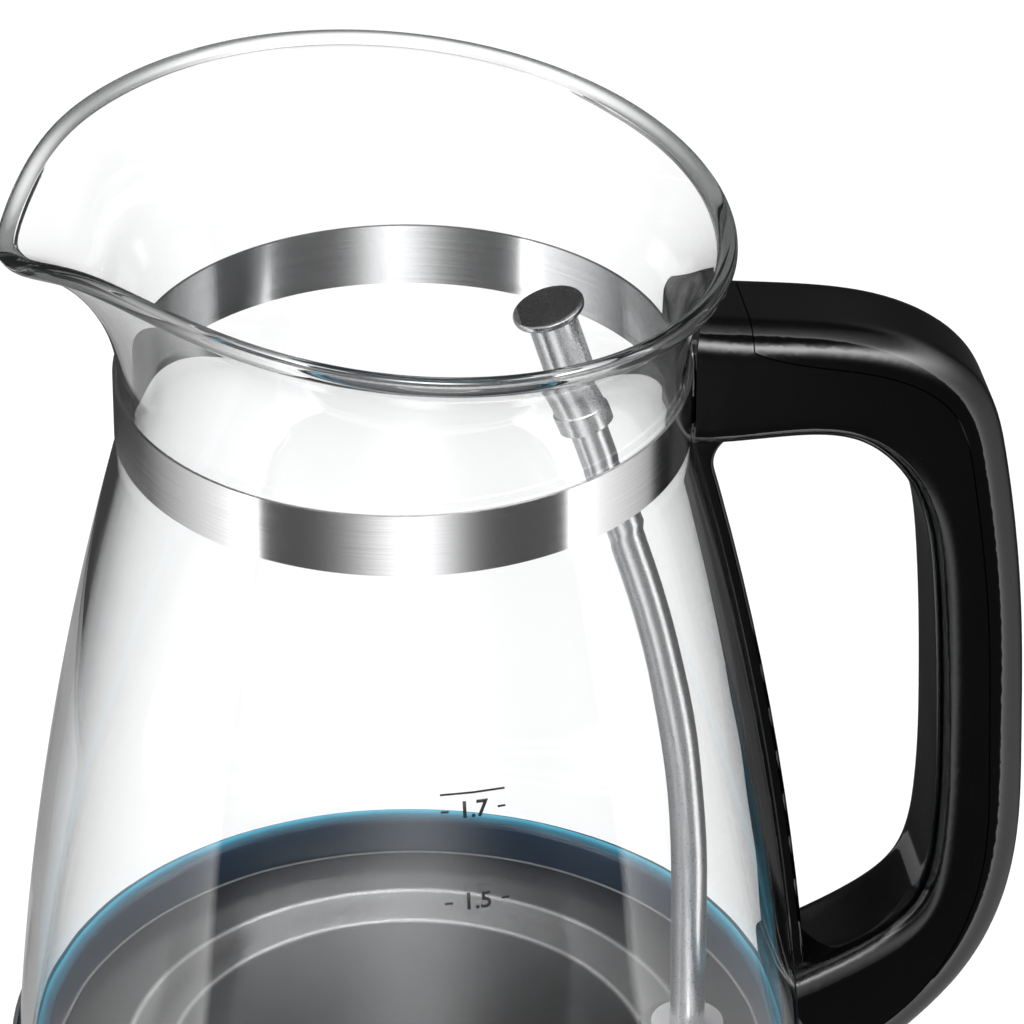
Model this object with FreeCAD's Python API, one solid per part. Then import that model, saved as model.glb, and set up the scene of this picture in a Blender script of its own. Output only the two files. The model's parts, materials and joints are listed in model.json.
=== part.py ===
"""Cordless glass kettle on its power base.

Open glass jug with a pouring lip, neck band, D handle, steam tube, lit floor ring, concealed element,
control, switch lever and a swivelling base. Millimetres, +Z up. The origin is on the table under the
jug's axis. +X points to the handle, -X to the pouring lip.
"""

import FreeCAD
import Part

import math
import os

Vec = FreeCAD.Vector
UP = Vec(0, 0, 1)

# Running and seating clearances
SEAT_GAP = 0.2
SOFT_GAP = 0.3
PIN_GAP = 0.06
SLOT_GAP = 0.6

# Length by which a cutting shape runs past the face it cuts
OVERCUT = 1.0

# Top of the power base, which the jug stands on
BASE_TOP_Z = 18.0

# Glass jug: body, neck and flared mouth
GLASS_WALL = 2.6
GLASS_BOTTOM_Z = 50.0
GLASS_BOTTOM_R = 78.4
BELLY_Z = 120.0
BELLY_INSET = 7.8
BELLY_R = GLASS_BOTTOM_R - BELLY_INSET
NECK_R = 54.2
NECK_LOW_Z = 196.0
NECK_HIGH_Z = 211.0
MOUTH_R = 64.1
MOUTH_OVAL = 0.05
MOUTH_RISE = 33.4
MOUTH_TILT = 6.6
MOUTH_LEAN = 38.0
LIP_REACH = 13.4
LIP_HALF_ANGLE = 28.0
LIP_DIP = 9.3
LIP_DIP_ANGLE = 17.5
LIP_LEAN = 86.0
BEAD_R = 1.85
JUG_SECTIONS = 48
FLARE_POINTS = 7
ENVELOPE_POINTS = 12

# Neck band with its clamping ears
BAND_THICK = 0.6
BAND_LOW_Z = 197.2
BAND_HEIGHT = 12.8
EAR_LENGTH = 10.0
EAR_THICK = 1.2
EAR_GAP = 1.6
EAR_HEIGHT = 9.0
CLAMP_REACH = 6.0

# Handle, drawn in the plane y = 0 as (distance from the axis, height)
HANDLE_WIDTH = 26.0
HANDLE_OUTER_EDGE = 7.0
HANDLE_INNER_EDGE = 5.0
HANDLE_SEAM = 0.25
HANDLE_TOP_Z = 220.0
HANDLE_TOP_DEPTH = 26.8
HANDLE_REACH = 121.8
GRIP_THICK = 17.8
FOOT_TOP_Z = 70.0
FOOT_LOW_Z = 37.0
HANDLE_FOOT_SINK = 4.0
SPINE_THICK = 1.8
SPINE_WIDTH = 16.0
SPINE_EDGE = 0.8
SPINE_CORNER_R = 6.0
SPINE_ROOT = 3.0
COVER_START_R = 65.5
COVER_DEPTH = 6.2
COVER_GRIP_DEPTH = 7.7
COVER_TAIL_REACH = 12.0
COVER_TAIL_DROP = 14.0
FLARE_CLEAR = 1.2

# Floor of the jug and what clamps it
FLOOR_Z = 50.0
PLATE_THICK = 0.8
FLANGE_WIDTH = 7.4
PLATE_STEP_R = GLASS_BOTTOM_R - FLANGE_WIDTH
FLANGE_DROP = 2.0
FLANGE_INSET = 1.0
FLOOR_RIM = 14.0
FLOOR_STEP_R = PLATE_STEP_R - FLOOR_RIM
FLOOR_STEP_WIDTH = 8.5
FLOOR_CENTRE_R = FLOOR_STEP_R - FLOOR_STEP_WIDTH
FLOOR_STEP_DROP = 1.6
LIGHT_RING_HEIGHT = 8.0
LIGHT_RING_THICK = 3.4
LIGHT_RING_GAP = 0.7

# Steam tube, as a route in the plane y = 0
TUBE_R = 3.6
TUBE_WALL = 0.7
TUBE_INSET = 14.0
TUBE_FOOT_X = PLATE_STEP_R - TUBE_INSET
TUBE_LOW_Z = 38.4
TUBE_BEND_Z = 122.7
TUBE_BEND_R = 270.0
TUBE_TOP_X = 29.5
TUBE_TOP_Z = 214.4
CAP_R = 4.75
CAP_LENGTH = 23.0
CAP_OVERLAP = 18.4
CAP_RING_R = 5.2
CAP_RING_HEIGHT = 5.0
CAP_VENT_R = 1.6
CAP_DISC_R = 7.0
CAP_DISC_THICK = 1.6
CAP_DISC_EDGE = 0.6
GROMMET_R = 7.4
GROMMET_HEIGHT = 3.2
PAD_R = 10.0

# Lower housing of the jug
COLLAR_THICK = 0.8
COLLAR_TOP_Z = 56.0
COLLAR_LOW_Z = BASE_TOP_Z + SOFT_GAP
COLLAR_TAPER = 0.5
COLLAR_TOP_R = GLASS_BOTTOM_R + SOFT_GAP + COLLAR_THICK
COLLAR_LOW_R = COLLAR_TOP_R - COLLAR_TAPER
COLLAR_LIP_WIDTH = 6.0
COLLAR_LIP_R = COLLAR_LOW_R - COLLAR_LIP_WIDTH
COLLAR_EDGE = 2.0
CHASSIS_THICK = 2.4
CHASSIS_TOP_Z = 47.0
CHASSIS_RING_WIDTH = 6.0
CHASSIS_INNER_R = PLATE_STEP_R - CHASSIS_RING_WIDTH
BOTTOM_THICK = 2.2
CAVITY_R = 19.2
CAVITY_WALL = 2.0
CAVITY_TOP_Z = 33.0

# Element, control and connector
SPREADER_INSET = 3.5
SPREADER_R = FLOOR_CENTRE_R - SPREADER_INSET
SPREADER_THICK = 3.0
ELEMENT_R = 36.0
ELEMENT_TUBE_R = 3.4
ELEMENT_GAP_ANGLE = 70.0
TERMINAL_R = 1.5
TERMINAL_LENGTH = 5.0
CONTROL_R = 26.0
CONTROL_HEIGHT = 6.5
CONTROL_NECK_WALL = 2.0
CONTROL_NECK_DROP = 2.0
POST_R = 3.6
DISC_R = 6.0
DISC_THICK = 0.4
DISC_SPACING = 30.0
PLUG_PIN_R = 3.6
PLUG_RING_R = 12.9
PLUG_RING_WALL = 1.6
PLUG_REACH = 12.5
PLUG_RING_STEP = 3.0
CONTACT_WALL = 0.7

# Steam switch and the rocking switch lever
SWITCH_LENGTH = 20.0
SWITCH_WIDTH = 22.0
SWITCH_HEIGHT = 11.5
SWITCH_WALL = 1.6
SWITCH_INSET = 11.0
SWITCH_X = TUBE_FOOT_X - SWITCH_INSET
SWITCH_LEG_R = 2.4
SWITCH_LEG_INSET = 3.2
LEVER_INSET = 3.0
LEVER_PIVOT_X = COLLAR_LIP_R - LEVER_INSET
LEVER_PIVOT_Z = 31.0
LEVER_PIN_R = 1.5
LEVER_WIDTH = 15.0
LEVER_HUB_R = 3.4
LEVER_THICK = 3.6
PADDLE_LENGTH = 15.0
PADDLE_WIDTH = 20.0
PADDLE_THICK = 5.0
LEVER_SWING = 12.0
EAR_BLOCK = 4.0

# Lamps under the floor flange
LAMP_ANGLE = 90.0
LAMP_R = 1.6
LAMP_HEIGHT = 3.6
BOARD_SIZE = (8.0, 14.0, 1.2)

# Power base
BASE_LEDGE = 1.0
BASE_R = COLLAR_LOW_R + BASE_LEDGE
BASE_WALL = 2.4
BASE_EDGE = 7.0
BASE_PLATE_THICK = 2.0
FOOT_R = 6.0
CENTRE_FOOT_R = 11.0
FOOT_HEIGHT = 1.6
FOOT_INSET = 16.0
FOOT_CIRCLE_R = BASE_R - FOOT_INSET
FOOT_COUNT = 4
SOCKET_R = 16.6
SOCKET_FLANGE_R = 24.0
SOCKET_TOP_Z = 30.0
SOCKET_EDGE = 1.0
CONTACT_DROP = 2.0
CORD_INLET_R = 3.8

# Fasteners
SCREW_R = 1.5
SCREW_HEAD_R = 2.9
SCREW_HEAD_HEIGHT = 2.0
SCREW_LENGTH = 9.0
HANDLE_SCREW_LENGTH = 15.0
SCREW_COUNT = 3
SCREW_TURN = 60.0


def polar(radius, angle, z=0.0):
    """Point at that distance from the axis, with the angle in degrees from +X."""
    a = math.radians(angle)
    return Vec(radius * math.cos(a), radius * math.sin(a), z)


def revolve(points):
    """Solid of revolution about the axis from (radius, height) corners."""
    corners = [Vec(r, 0, z) for r, z in points]
    face = Part.Face(Part.makePolygon(corners + corners[:1]))
    return face.revolve(Vec(0, 0, 0), UP, 360)


def tube(r_out, r_in, z_low, z_high):
    """Upright hollow cylinder on the axis."""
    return revolve([(r_in, z_low), (r_out, z_low), (r_out, z_high), (r_in, z_high)])


def cylinder(radius, base, direction, length):
    return Part.makeCylinder(radius, length, base, direction)


def block(x, y, z):
    """Box from three (low, high) pairs."""
    size = [pair[1] - pair[0] for pair in (x, y, z)]
    return Part.makeBox(*size, Vec(x[0], y[0], z[0]))


def around(shape, count, start=0.0):
    """Copies of a shape, evenly spaced about the axis."""
    copies = []
    for i in range(count):
        one = shape.copy()
        one.rotate(Vec(0, 0, 0), UP, start + 360.0 * i / count)
        copies.append(one)
    return copies


def bent_path(points, radius):
    """Wire of straight runs joined by tangent arcs of one radius."""
    edges = []
    last = points[0]
    for before, corner, after in zip(points, points[1:], points[2:]):
        to_last = (before - corner).normalize()
        to_next = (after - corner).normalize()
        turn = math.pi - to_last.getAngle(to_next)
        reach = radius * math.tan(turn / 2)
        start = corner + to_last * reach
        end = corner + to_next * reach
        middle = (to_last + to_next).normalize()
        centre = corner + middle * math.hypot(radius, reach)
        edges.append(Part.LineSegment(last, start).toShape())
        edges.append(Part.Arc(start, centre - middle * radius, end).toShape())
        last = end
    edges.append(Part.LineSegment(last, points[-1]).toShape())
    return Part.Wire(edges)


def pipe(path, r_out, r_in=0.0):
    """Round bar or tube swept along a wire."""
    start = path.OrderedVertexes[0].Point
    first = path.OrderedEdges[0]
    direction = first.tangentAt(first.FirstParameter)
    solids = []
    for radius in (r_out, r_in):
        if radius > 0:
            ring = Part.Wire(Part.makeCircle(radius, start, direction))
            solids.append(path.makePipeShell([ring], True, True))
    return solids[0].cut(solids[1]) if r_in > 0 else solids[0]


def screw(tip, direction, length=SCREW_LENGTH):
    """Pan-head screw: its shank runs from the head's seat along the direction."""
    shank = cylinder(SCREW_R, tip, direction, length)
    head = cylinder(SCREW_HEAD_R, tip - direction * SCREW_HEAD_HEIGHT, direction, SCREW_HEAD_HEIGHT)
    return shank.fuse(head)


def belly_radius(z):
    """Outer radius of the glass below the neck, on the circle through foot, belly and neck."""
    foot = Vec(GLASS_BOTTOM_R, 0, GLASS_BOTTOM_Z)
    circle = Part.Circle(foot, Vec(BELLY_R, 0, BELLY_Z), Vec(NECK_R, 0, NECK_LOW_Z))
    return circle.Center.x + math.sqrt(circle.Radius**2 - (z - circle.Center.z) ** 2)


def mouth_edge(angle):
    """Radius, height and lean of the flared mouth; the angle is from the pouring lip, in degrees."""
    a = math.radians(angle)
    lip = math.exp(-((abs(angle) / LIP_HALF_ANGLE) ** 1.5))
    dip = math.exp(-((angle / LIP_DIP_ANGLE) ** 2))
    radius = MOUTH_R * (1 - MOUTH_OVAL * math.cos(2 * a)) + LIP_REACH * lip
    height = NECK_HIGH_Z + MOUTH_RISE + MOUTH_TILT * math.cos(a) - LIP_DIP * dip
    lean = math.radians(MOUTH_LEAN + (LIP_LEAN - MOUTH_LEAN) * lip)
    return radius, height, lean


def bead_sink():
    """Distance from the wall's end to the centre of the bead that it runs into."""
    return math.sqrt(BEAD_R**2 - (GLASS_WALL / 2) ** 2)


def flare_points(angle):
    """Middle of the flared wall from neck to bead: (point, inward normal) pairs in (r, z)."""
    radius, height, lean = mouth_edge(angle)
    reach = radius - (NECK_R - GLASS_WALL / 2)
    rise = height - NECK_HIGH_Z
    across = reach / (1 - math.cos(lean))
    along = rise / math.sin(lean)
    end = lean - bead_sink() / math.hypot(across * math.sin(lean), along * math.cos(lean))
    pairs = []
    for i in range(FLARE_POINTS):
        a = end * i / (FLARE_POINTS - 1)
        r = NECK_R - GLASS_WALL / 2 + across * (1 - math.cos(a))
        z = NECK_HIGH_Z + along * math.sin(a)
        slope_r = across * math.sin(a)
        slope_z = along * math.cos(a)
        length = math.hypot(slope_r, slope_z)
        pairs.append(((r, z), (-slope_z / length, slope_r / length)))
    return pairs


def jug_section(angle):
    """Closed outline of the glass wall in the upright plane at that angle from the pouring lip."""
    turn = math.radians(180.0 + angle)
    across = Vec(math.cos(turn), math.sin(turn), 0)

    def place(r, z):
        return across * r + UP * z

    half = GLASS_WALL / 2
    flare = flare_points(angle)
    outer = [place(r - n[0] * half, z - n[1] * half) for (r, z), n in flare]
    inner = [place(r + n[0] * half, z + n[1] * half) for (r, z), n in flare]
    (end_r, end_z), end_n = flare[-1]
    bead = BEAD_R + bead_sink()
    tip = place(end_r + end_n[1] * bead, end_z - end_n[0] * bead)
    middle_z = (GLASS_BOTTOM_Z + NECK_LOW_Z) / 2

    def wall_edges(inset):
        low = place(GLASS_BOTTOM_R - inset, GLASS_BOTTOM_Z)
        mid = place(belly_radius(middle_z) - inset, middle_z)
        neck = place(NECK_R - inset, NECK_LOW_Z)
        return low, Part.Arc(low, mid, neck), neck

    low_out, body_out, neck_out = wall_edges(0.0)
    low_in, body_in, neck_in = wall_edges(GLASS_WALL)
    flare_out = Part.BSplineCurve()
    flare_out.interpolate(outer, InitialTangent=UP, FinalTangent=outer[-1] - outer[-2])
    flare_in = Part.BSplineCurve()
    flare_in.interpolate(inner, InitialTangent=UP, FinalTangent=inner[-1] - inner[-2])
    edges = [
        body_out,
        Part.LineSegment(neck_out, outer[0]),
        flare_out,
        Part.Arc(outer[-1], tip, inner[-1]),
        flare_in,
        Part.LineSegment(inner[0], neck_in),
        body_in,
        Part.LineSegment(low_in, low_out),
    ]
    return Part.Wire(Part.__sortEdges__([e.toShape() for e in edges]))


def glass_jug():
    """Blown wall lofted round the axis through upright sections."""
    sections = [jug_section(360.0 * i / JUG_SECTIONS - 180.0) for i in range(JUG_SECTIONS)]
    return Part.makeLoft(sections, True, False, True)


def neck_band():
    """Steel strap round the neck with two ears that the clamp screw draws together."""
    r_in = NECK_R + SEAT_GAP
    r_out = r_in + BAND_THICK
    z_high = BAND_LOW_Z + BAND_HEIGHT
    strap = tube(r_out, r_in, BAND_LOW_Z, z_high)
    split_z = (BAND_LOW_Z - OVERCUT, z_high + OVERCUT)
    strap = strap.cut(block((0, 2 * r_out), (-EAR_GAP / 2, EAR_GAP / 2), split_z))
    z_mid = BAND_LOW_Z + BAND_HEIGHT / 2
    z_ear = (z_mid - EAR_HEIGHT / 2, z_mid + EAR_HEIGHT / 2)
    for side in (-1, 1):
        y = sorted((side * EAR_GAP / 2, side * (EAR_GAP / 2 + EAR_THICK)))
        ear = block((r_in + BAND_THICK / 2, r_out + EAR_LENGTH), y, z_ear)
        hole = cylinder(SCREW_R + SEAT_GAP, clamp_point(), Vec(0, side, 0), HANDLE_WIDTH)
        strap = strap.fuse(ear.cut(hole))
    return strap.removeSplitter()


def clamp_point():
    """Where the clamp screw crosses the plane of the handle."""
    return Vec(NECK_R + BAND_THICK + CLAMP_REACH, 0, BAND_LOW_Z + BAND_HEIGHT / 2)


def clamp_screw():
    """Screw and nut that close the neck band inside the handle."""
    grip = EAR_GAP / 2 + EAR_THICK
    length = 2 * grip + SCREW_R
    start = clamp_point() - Vec(0, grip, 0)
    bolt = screw(start, Vec(0, 1, 0), length)
    nut_ring = cylinder(SCREW_HEAD_R, start + Vec(0, 2 * grip, 0), Vec(0, 1, 0), SCREW_R)
    return bolt.fuse(nut_ring)


def arch(start_r, end_r, start_z, points):
    """Curve points from (share of the way out, height change) pairs."""
    return [(start_r + (end_r - start_r) * share, start_z + change) for share, change in points]


def handle_outline():
    """Outer and inner curves of the handle from its upper to its lower end, in the plane y = 0."""
    foot_r = GLASS_BOTTOM_R - HANDLE_FOOT_SINK
    inner_r = HANDLE_REACH - GRIP_THICK
    under_z = HANDLE_TOP_Z - HANDLE_TOP_DEPTH
    outer_top = [(0, 0), (0.367, -3.8), (0.633, -8.8), (0.845, -20.5), (0.92, -36.8), (0.981, -70.8)]
    outer_low = [(1, 80), (0.96, 46), (0.805, 28), (0.5, 12), (0.249, 3.4), (0, 0)]
    inner_top = [(0, 0), (0.35, -0.3), (0.646, -2.6), (0.8425, -12), (0.9685, -37), (1, -70)]
    inner_low = [(0.987, 27), (0.837, 11), (0.575, 4.6), (0, -3.4)]
    outer = arch(NECK_R, HANDLE_REACH, HANDLE_TOP_Z, outer_top)
    outer += arch(foot_r, HANDLE_REACH, FOOT_LOW_Z, outer_low)
    inner = arch(NECK_R, inner_r, under_z, inner_top)
    inner += arch(foot_r, inner_r, FOOT_TOP_Z, inner_low)
    return outer, inner


def smooth_curve(points):
    curve = Part.BSplineCurve()
    curve.interpolate([Vec(r, 0, z) for r, z in points])
    return curve


def handle_slab(outer, inner, width):
    """Handle blank: the area between two curves, thickened to both sides of the plane."""
    out_curve, in_curve = smooth_curve(outer), smooth_curve(inner)
    ends = [
        Part.LineSegment(in_curve.StartPoint, out_curve.StartPoint),
        Part.LineSegment(out_curve.EndPoint, in_curve.EndPoint),
    ]
    wire = Part.Wire(Part.__sortEdges__([e.toShape() for e in [out_curve, in_curve, *ends]]))
    face = Part.Face(wire)
    face.translate(Vec(0, -width / 2, 0))
    return face.extrude(Vec(0, width, 0))


def long_edges(shape, outside):
    """Edges that run along the handle on its two flat sides, at its outside or round its opening."""
    flat = HANDLE_WIDTH / 2
    found = []
    for edge in shape.Edges:
        box = edge.BoundBox
        on_side = abs(abs(box.YMin) - flat) < 1e-3 and box.YLength < 1e-3
        far_out = box.XMax > HANDLE_REACH - GRIP_THICK / 2
        if on_side and box.DiagonalLength > HANDLE_REACH / 2 and far_out == outside:
            found.append(edge)
    return found


def handle_blank():
    """Whole handle with rounded edges, cut to clear the glass, the band and the collar."""
    outer, inner = handle_outline()
    blank = handle_slab(outer, inner, HANDLE_WIDTH)
    blank = blank.makeFillet(HANDLE_OUTER_EDGE, long_edges(blank, True))
    blank = blank.makeFillet(HANDLE_INNER_EDGE, long_edges(blank, False))
    return blank.cut(jug_envelope())


def jug_envelope():
    """Space that the handle keeps clear of: the glass, the band and the collar with a soft gap."""
    neck = NECK_R + SEAT_GAP + BAND_THICK + SOFT_GAP
    collar_r = COLLAR_TOP_R + SOFT_GAP
    flare_z = HANDLE_TOP_Z + OVERCUT
    low_z = COLLAR_TOP_Z + SOFT_GAP
    points = [(0, 0), (collar_r, 0), (collar_r, low_z)]
    for i in range(ENVELOPE_POINTS):
        z = low_z + (NECK_LOW_Z - low_z) * i / (ENVELOPE_POINTS - 1)
        points.append((belly_radius(z) + SOFT_GAP, z))
    points += [(neck, NECK_LOW_Z), (neck, NECK_HIGH_Z), (neck + FLARE_CLEAR, flare_z), (0, flare_z)]
    return revolve(points)


def spine_r(z):
    """Outer radius of the handle's spine, a soft gap and its own thickness outside the glass."""
    return belly_radius(z) + SOFT_GAP + SPINE_THICK


def spine_face(low_z, arm_z):
    """Upright section of the spine from the foot to the arm, reaching in to the axis."""
    below_z = arm_z - 2 * SPINE_CORNER_R
    middle_z = (low_z + below_z) / 2
    low, middle, along, corner = [Vec(spine_r(z), 0, z) for z in (low_z, middle_z, below_z, arm_z)]
    across = corner + Vec(2 * SPINE_CORNER_R, 0, 0)
    edges = [Part.Arc(low, middle, along).toShape()]
    edges += bent_path([along, corner, across], SPINE_CORNER_R).Edges
    back = [across, across + UP * SPINE_ROOT, Vec(0, 0, arm_z + SPINE_ROOT), Vec(0, 0, low_z), low]
    for a, b in zip(back, back[1:]):
        edges.append(Part.LineSegment(a, b).toShape())
    return Part.Face(Part.Wire(Part.__sortEdges__(edges)))


def handle_spine():
    """Slim strip of the frame that follows the glass from the foot to a rounded corner under the arm."""
    arm_z = HANDLE_TOP_Z - HANDLE_TOP_DEPTH
    face = spine_face(FOOT_TOP_Z - HANDLE_TOP_DEPTH / 2, arm_z)
    face.translate(Vec(0, -SPINE_WIDTH / 2, 0))
    strip = face.extrude(Vec(0, SPINE_WIDTH, 0))
    strip = strip.makeFillet(SPINE_EDGE, spine_edges(strip, arm_z))
    return strip.cut(jug_envelope())


def spine_edges(strip, arm_z):
    """Long outer edges of the spine, up to where it meets the arm."""
    found = []
    for edge in strip.Edges:
        middle = edge.CenterOfMass
        runs_along = edge.BoundBox.YLength < SPINE_EDGE / 2
        if runs_along and middle.z < arm_z - SPINE_EDGE / 2 and middle.x > belly_radius(middle.z):
            found.append(edge)
    return found


def cover_split():
    """Block that separates the outer cover from the frame along the handle's seam."""
    outer, _ = handle_outline()
    seam = [(COVER_START_R, HANDLE_TOP_Z - COVER_DEPTH)]
    for (r, z), (r_next, z_next) in zip(outer[1:-2], outer[2:]):
        length = math.hypot(r_next - r, z_next - z)
        normal = ((z_next - z) / length, -(r_next - r) / length)
        share = max(0.0, r - COVER_START_R) / (HANDLE_REACH - COVER_START_R)
        depth = COVER_DEPTH + (COVER_GRIP_DEPTH - COVER_DEPTH) * share
        seam.append((r + normal[0] * depth, z + normal[1] * depth))
    curve = smooth_curve(seam)
    end = curve.EndPoint
    far = 2 * HANDLE_REACH
    tail_z = end.z - COVER_TAIL_DROP
    corners = [end, Vec(end.x + COVER_TAIL_REACH, 0, tail_z), Vec(far, 0, tail_z), Vec(far, 0, far)]
    corners += [Vec(COVER_START_R, 0, far), curve.StartPoint]
    edges = [curve.toShape()]
    for a, b in zip(corners, corners[1:]):
        edges.append(Part.LineSegment(a, b).toShape())
    face = Part.Face(Part.Wire(Part.__sortEdges__(edges)))
    face.translate(Vec(0, -HANDLE_WIDTH, 0))
    return face.extrude(Vec(0, 2 * HANDLE_WIDTH, 0))


def handle_parts():
    """Frame that carries the jug, and the cover let into its outside."""
    blank = handle_blank()
    split = cover_split()
    cover = blank.common(split)
    grown = split.makeOffsetShape(HANDLE_SEAM, 0.01)
    frame = blank.cut(grown).fuse(handle_spine())
    point = clamp_point()
    pocket_r = (0, point.x + EAR_LENGTH / 2 + SOFT_GAP)
    pocket_y = EAR_GAP / 2 + EAR_THICK + SCREW_HEAD_HEIGHT + SOFT_GAP
    pocket_z = EAR_HEIGHT / 2 + SOFT_GAP
    frame = frame.cut(block(pocket_r, (-pocket_y, pocket_y), (point.z - pocket_z, point.z + pocket_z)))
    for y in (-1, 1):
        frame = frame.cut(handle_screw_hole(y, SCREW_R + PIN_GAP))
    return frame, cover


def handle_screw_hole(side, radius):
    """Straight hole for the shank of a lower handle screw."""
    return cylinder(radius, handle_screw_seat(side), Vec(1, 0, 0), HANDLE_SCREW_LENGTH + SOFT_GAP)


def handle_screw_seat(side):
    """Head seat of a lower handle screw, inside the chassis."""
    z = FOOT_LOW_Z + 2 * SCREW_HEAD_R
    r = chassis_skirt_r() - CHASSIS_THICK - SEAT_GAP
    return Vec(r, side * HANDLE_WIDTH / 4, z)


def handle_screws():
    """Two screws that hold the handle's foot to the chassis."""
    outward = Vec(1, 0, 0)
    return Part.makeCompound([screw(handle_screw_seat(y), outward, HANDLE_SCREW_LENGTH) for y in (-1, 1)])


def chassis_skirt_r():
    """Outer radius of the chassis skirt, inside the collar's lower lip."""
    return COLLAR_LIP_R - SOFT_GAP


def flange_r():
    """Outer radius of the floor's flange and of the chassis ring under it."""
    return GLASS_BOTTOM_R - FLANGE_INSET


def glass_inner_low():
    return GLASS_BOTTOM_R - GLASS_WALL


def light_ring():
    """Clear ring inside the foot of the glass that carries the blue light."""
    r_out = glass_inner_low() - LIGHT_RING_GAP
    bevel = LIGHT_RING_THICK / 4
    r_in = r_out - LIGHT_RING_THICK
    z = (FLOOR_Z, FLOOR_Z + LIGHT_RING_HEIGHT)
    return revolve([(r_in, z[0]), (r_out, z[0]), (r_out, z[1]), (r_in + bevel, z[1]), (r_in, z[1] - bevel)])


def seal_ring():
    """Silicone seal that the glass and the light ring stand on."""
    z_top = GLASS_BOTTOM_Z
    z_low = FLOOR_Z - FLANGE_DROP
    return tube(GLASS_BOTTOM_R - SEAT_GAP, PLATE_STEP_R + SEAT_GAP, z_low, z_top)


def tube_foot(z):
    return Vec(TUBE_FOOT_X, 0, z)


def heating_plate():
    """Pressed steel floor with a flange, an outer annulus, a step and a flat centre."""
    t = PLATE_THICK
    low = FLOOR_Z - FLANGE_DROP
    centre_z = FLOOR_Z - FLOOR_STEP_DROP
    top = [
        (flange_r(), low),
        (PLATE_STEP_R, low),
        (PLATE_STEP_R, FLOOR_Z),
        (FLOOR_STEP_R, FLOOR_Z),
        (FLOOR_CENTRE_R, centre_z),
        (0, centre_z),
    ]
    under = [
        (0, centre_z - t),
        (FLOOR_CENTRE_R + t / 2, centre_z - t),
        (FLOOR_STEP_R + t / 2, FLOOR_Z - t),
        (PLATE_STEP_R - t, FLOOR_Z - t),
        (PLATE_STEP_R - t, low - t),
        (flange_r(), low - t),
    ]
    plate = revolve(top + under)
    pad = cylinder(PAD_R, tube_foot(centre_z - t), UP, FLOOR_STEP_DROP + t)
    plate = plate.fuse(pad).removeSplitter()
    hole = GROMMET_R - GROMMET_HEIGHT / 2
    plate = plate.cut(cylinder(hole, tube_foot(0), UP, FLOOR_Z + OVERCUT))
    for angle in (LAMP_ANGLE, -LAMP_ANGLE):
        plate = plate.cut(cylinder(LAMP_R + SEAT_GAP, lamp_point(angle, 0), UP, FLOOR_Z))
    return plate


def tube_grommet():
    """Grooved silicone grommet that seals the steam tube in the floor."""
    plate_low = FLOOR_Z - FLOOR_STEP_DROP - PLATE_THICK
    hole = GROMMET_R - GROMMET_HEIGHT / 2
    lip = GROMMET_HEIGHT / 2
    body = cylinder(hole - SEAT_GAP, tube_foot(plate_low - lip), UP, FLOOR_Z + lip - plate_low + lip)
    for z in (plate_low - lip, FLOOR_Z):
        body = body.fuse(cylinder(GROMMET_R, tube_foot(z), UP, lip))
    bore = cylinder(TUBE_R + PIN_GAP, tube_foot(0), UP, FLOOR_Z + GROMMET_HEIGHT * 2)
    return body.cut(bore).removeSplitter()


def tube_route():
    return [
        tube_foot(TUBE_LOW_Z),
        tube_foot(TUBE_BEND_Z),
        Vec(TUBE_TOP_X, 0, TUBE_TOP_Z),
    ]


def tube_top_axis():
    """Direction of the tube's upper end."""
    route = tube_route()
    return (route[-1] - route[-2]).normalize()


def steam_tube():
    """Bent steel tube that leads steam down to the switch."""
    return pipe(bent_path(tube_route(), TUBE_BEND_R), TUBE_R, TUBE_R - TUBE_WALL)


def steam_cap():
    """Mushroom cap over the tube's upper end: a vented sleeve with a thicker foot, under a flat disc."""
    axis = tube_top_axis()
    start = tube_route()[-1] - axis * CAP_OVERLAP
    sleeve = cylinder(CAP_R, start, axis, CAP_LENGTH)
    sleeve = sleeve.fuse(cylinder(CAP_RING_R, start, axis, CAP_RING_HEIGHT))
    sleeve = sleeve.cut(cylinder(TUBE_R + PIN_GAP, start, axis, CAP_OVERLAP + SEAT_GAP))
    sleeve = sleeve.cut(cylinder(TUBE_R - TUBE_WALL, start, axis, CAP_LENGTH))
    vent = start + axis * (CAP_LENGTH - CAP_VENT_R - SOFT_GAP)
    sleeve = sleeve.cut(cylinder(CAP_VENT_R, vent, Vec(0, 1, 0), 2 * CAP_R))
    disc = cylinder(CAP_DISC_R, start + axis * CAP_LENGTH, axis, CAP_DISC_THICK)
    rims = [e for e in disc.Edges if e.Closed]
    return sleeve.fuse(disc.makeFillet(CAP_DISC_EDGE, rims))


def collar_radius(z):
    """Outer radius of the collar, from its foot to just outside the glass."""
    share = (z - COLLAR_LOW_Z) / (COLLAR_TOP_Z - COLLAR_LOW_Z)
    return COLLAR_LOW_R + COLLAR_TAPER * share


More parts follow.
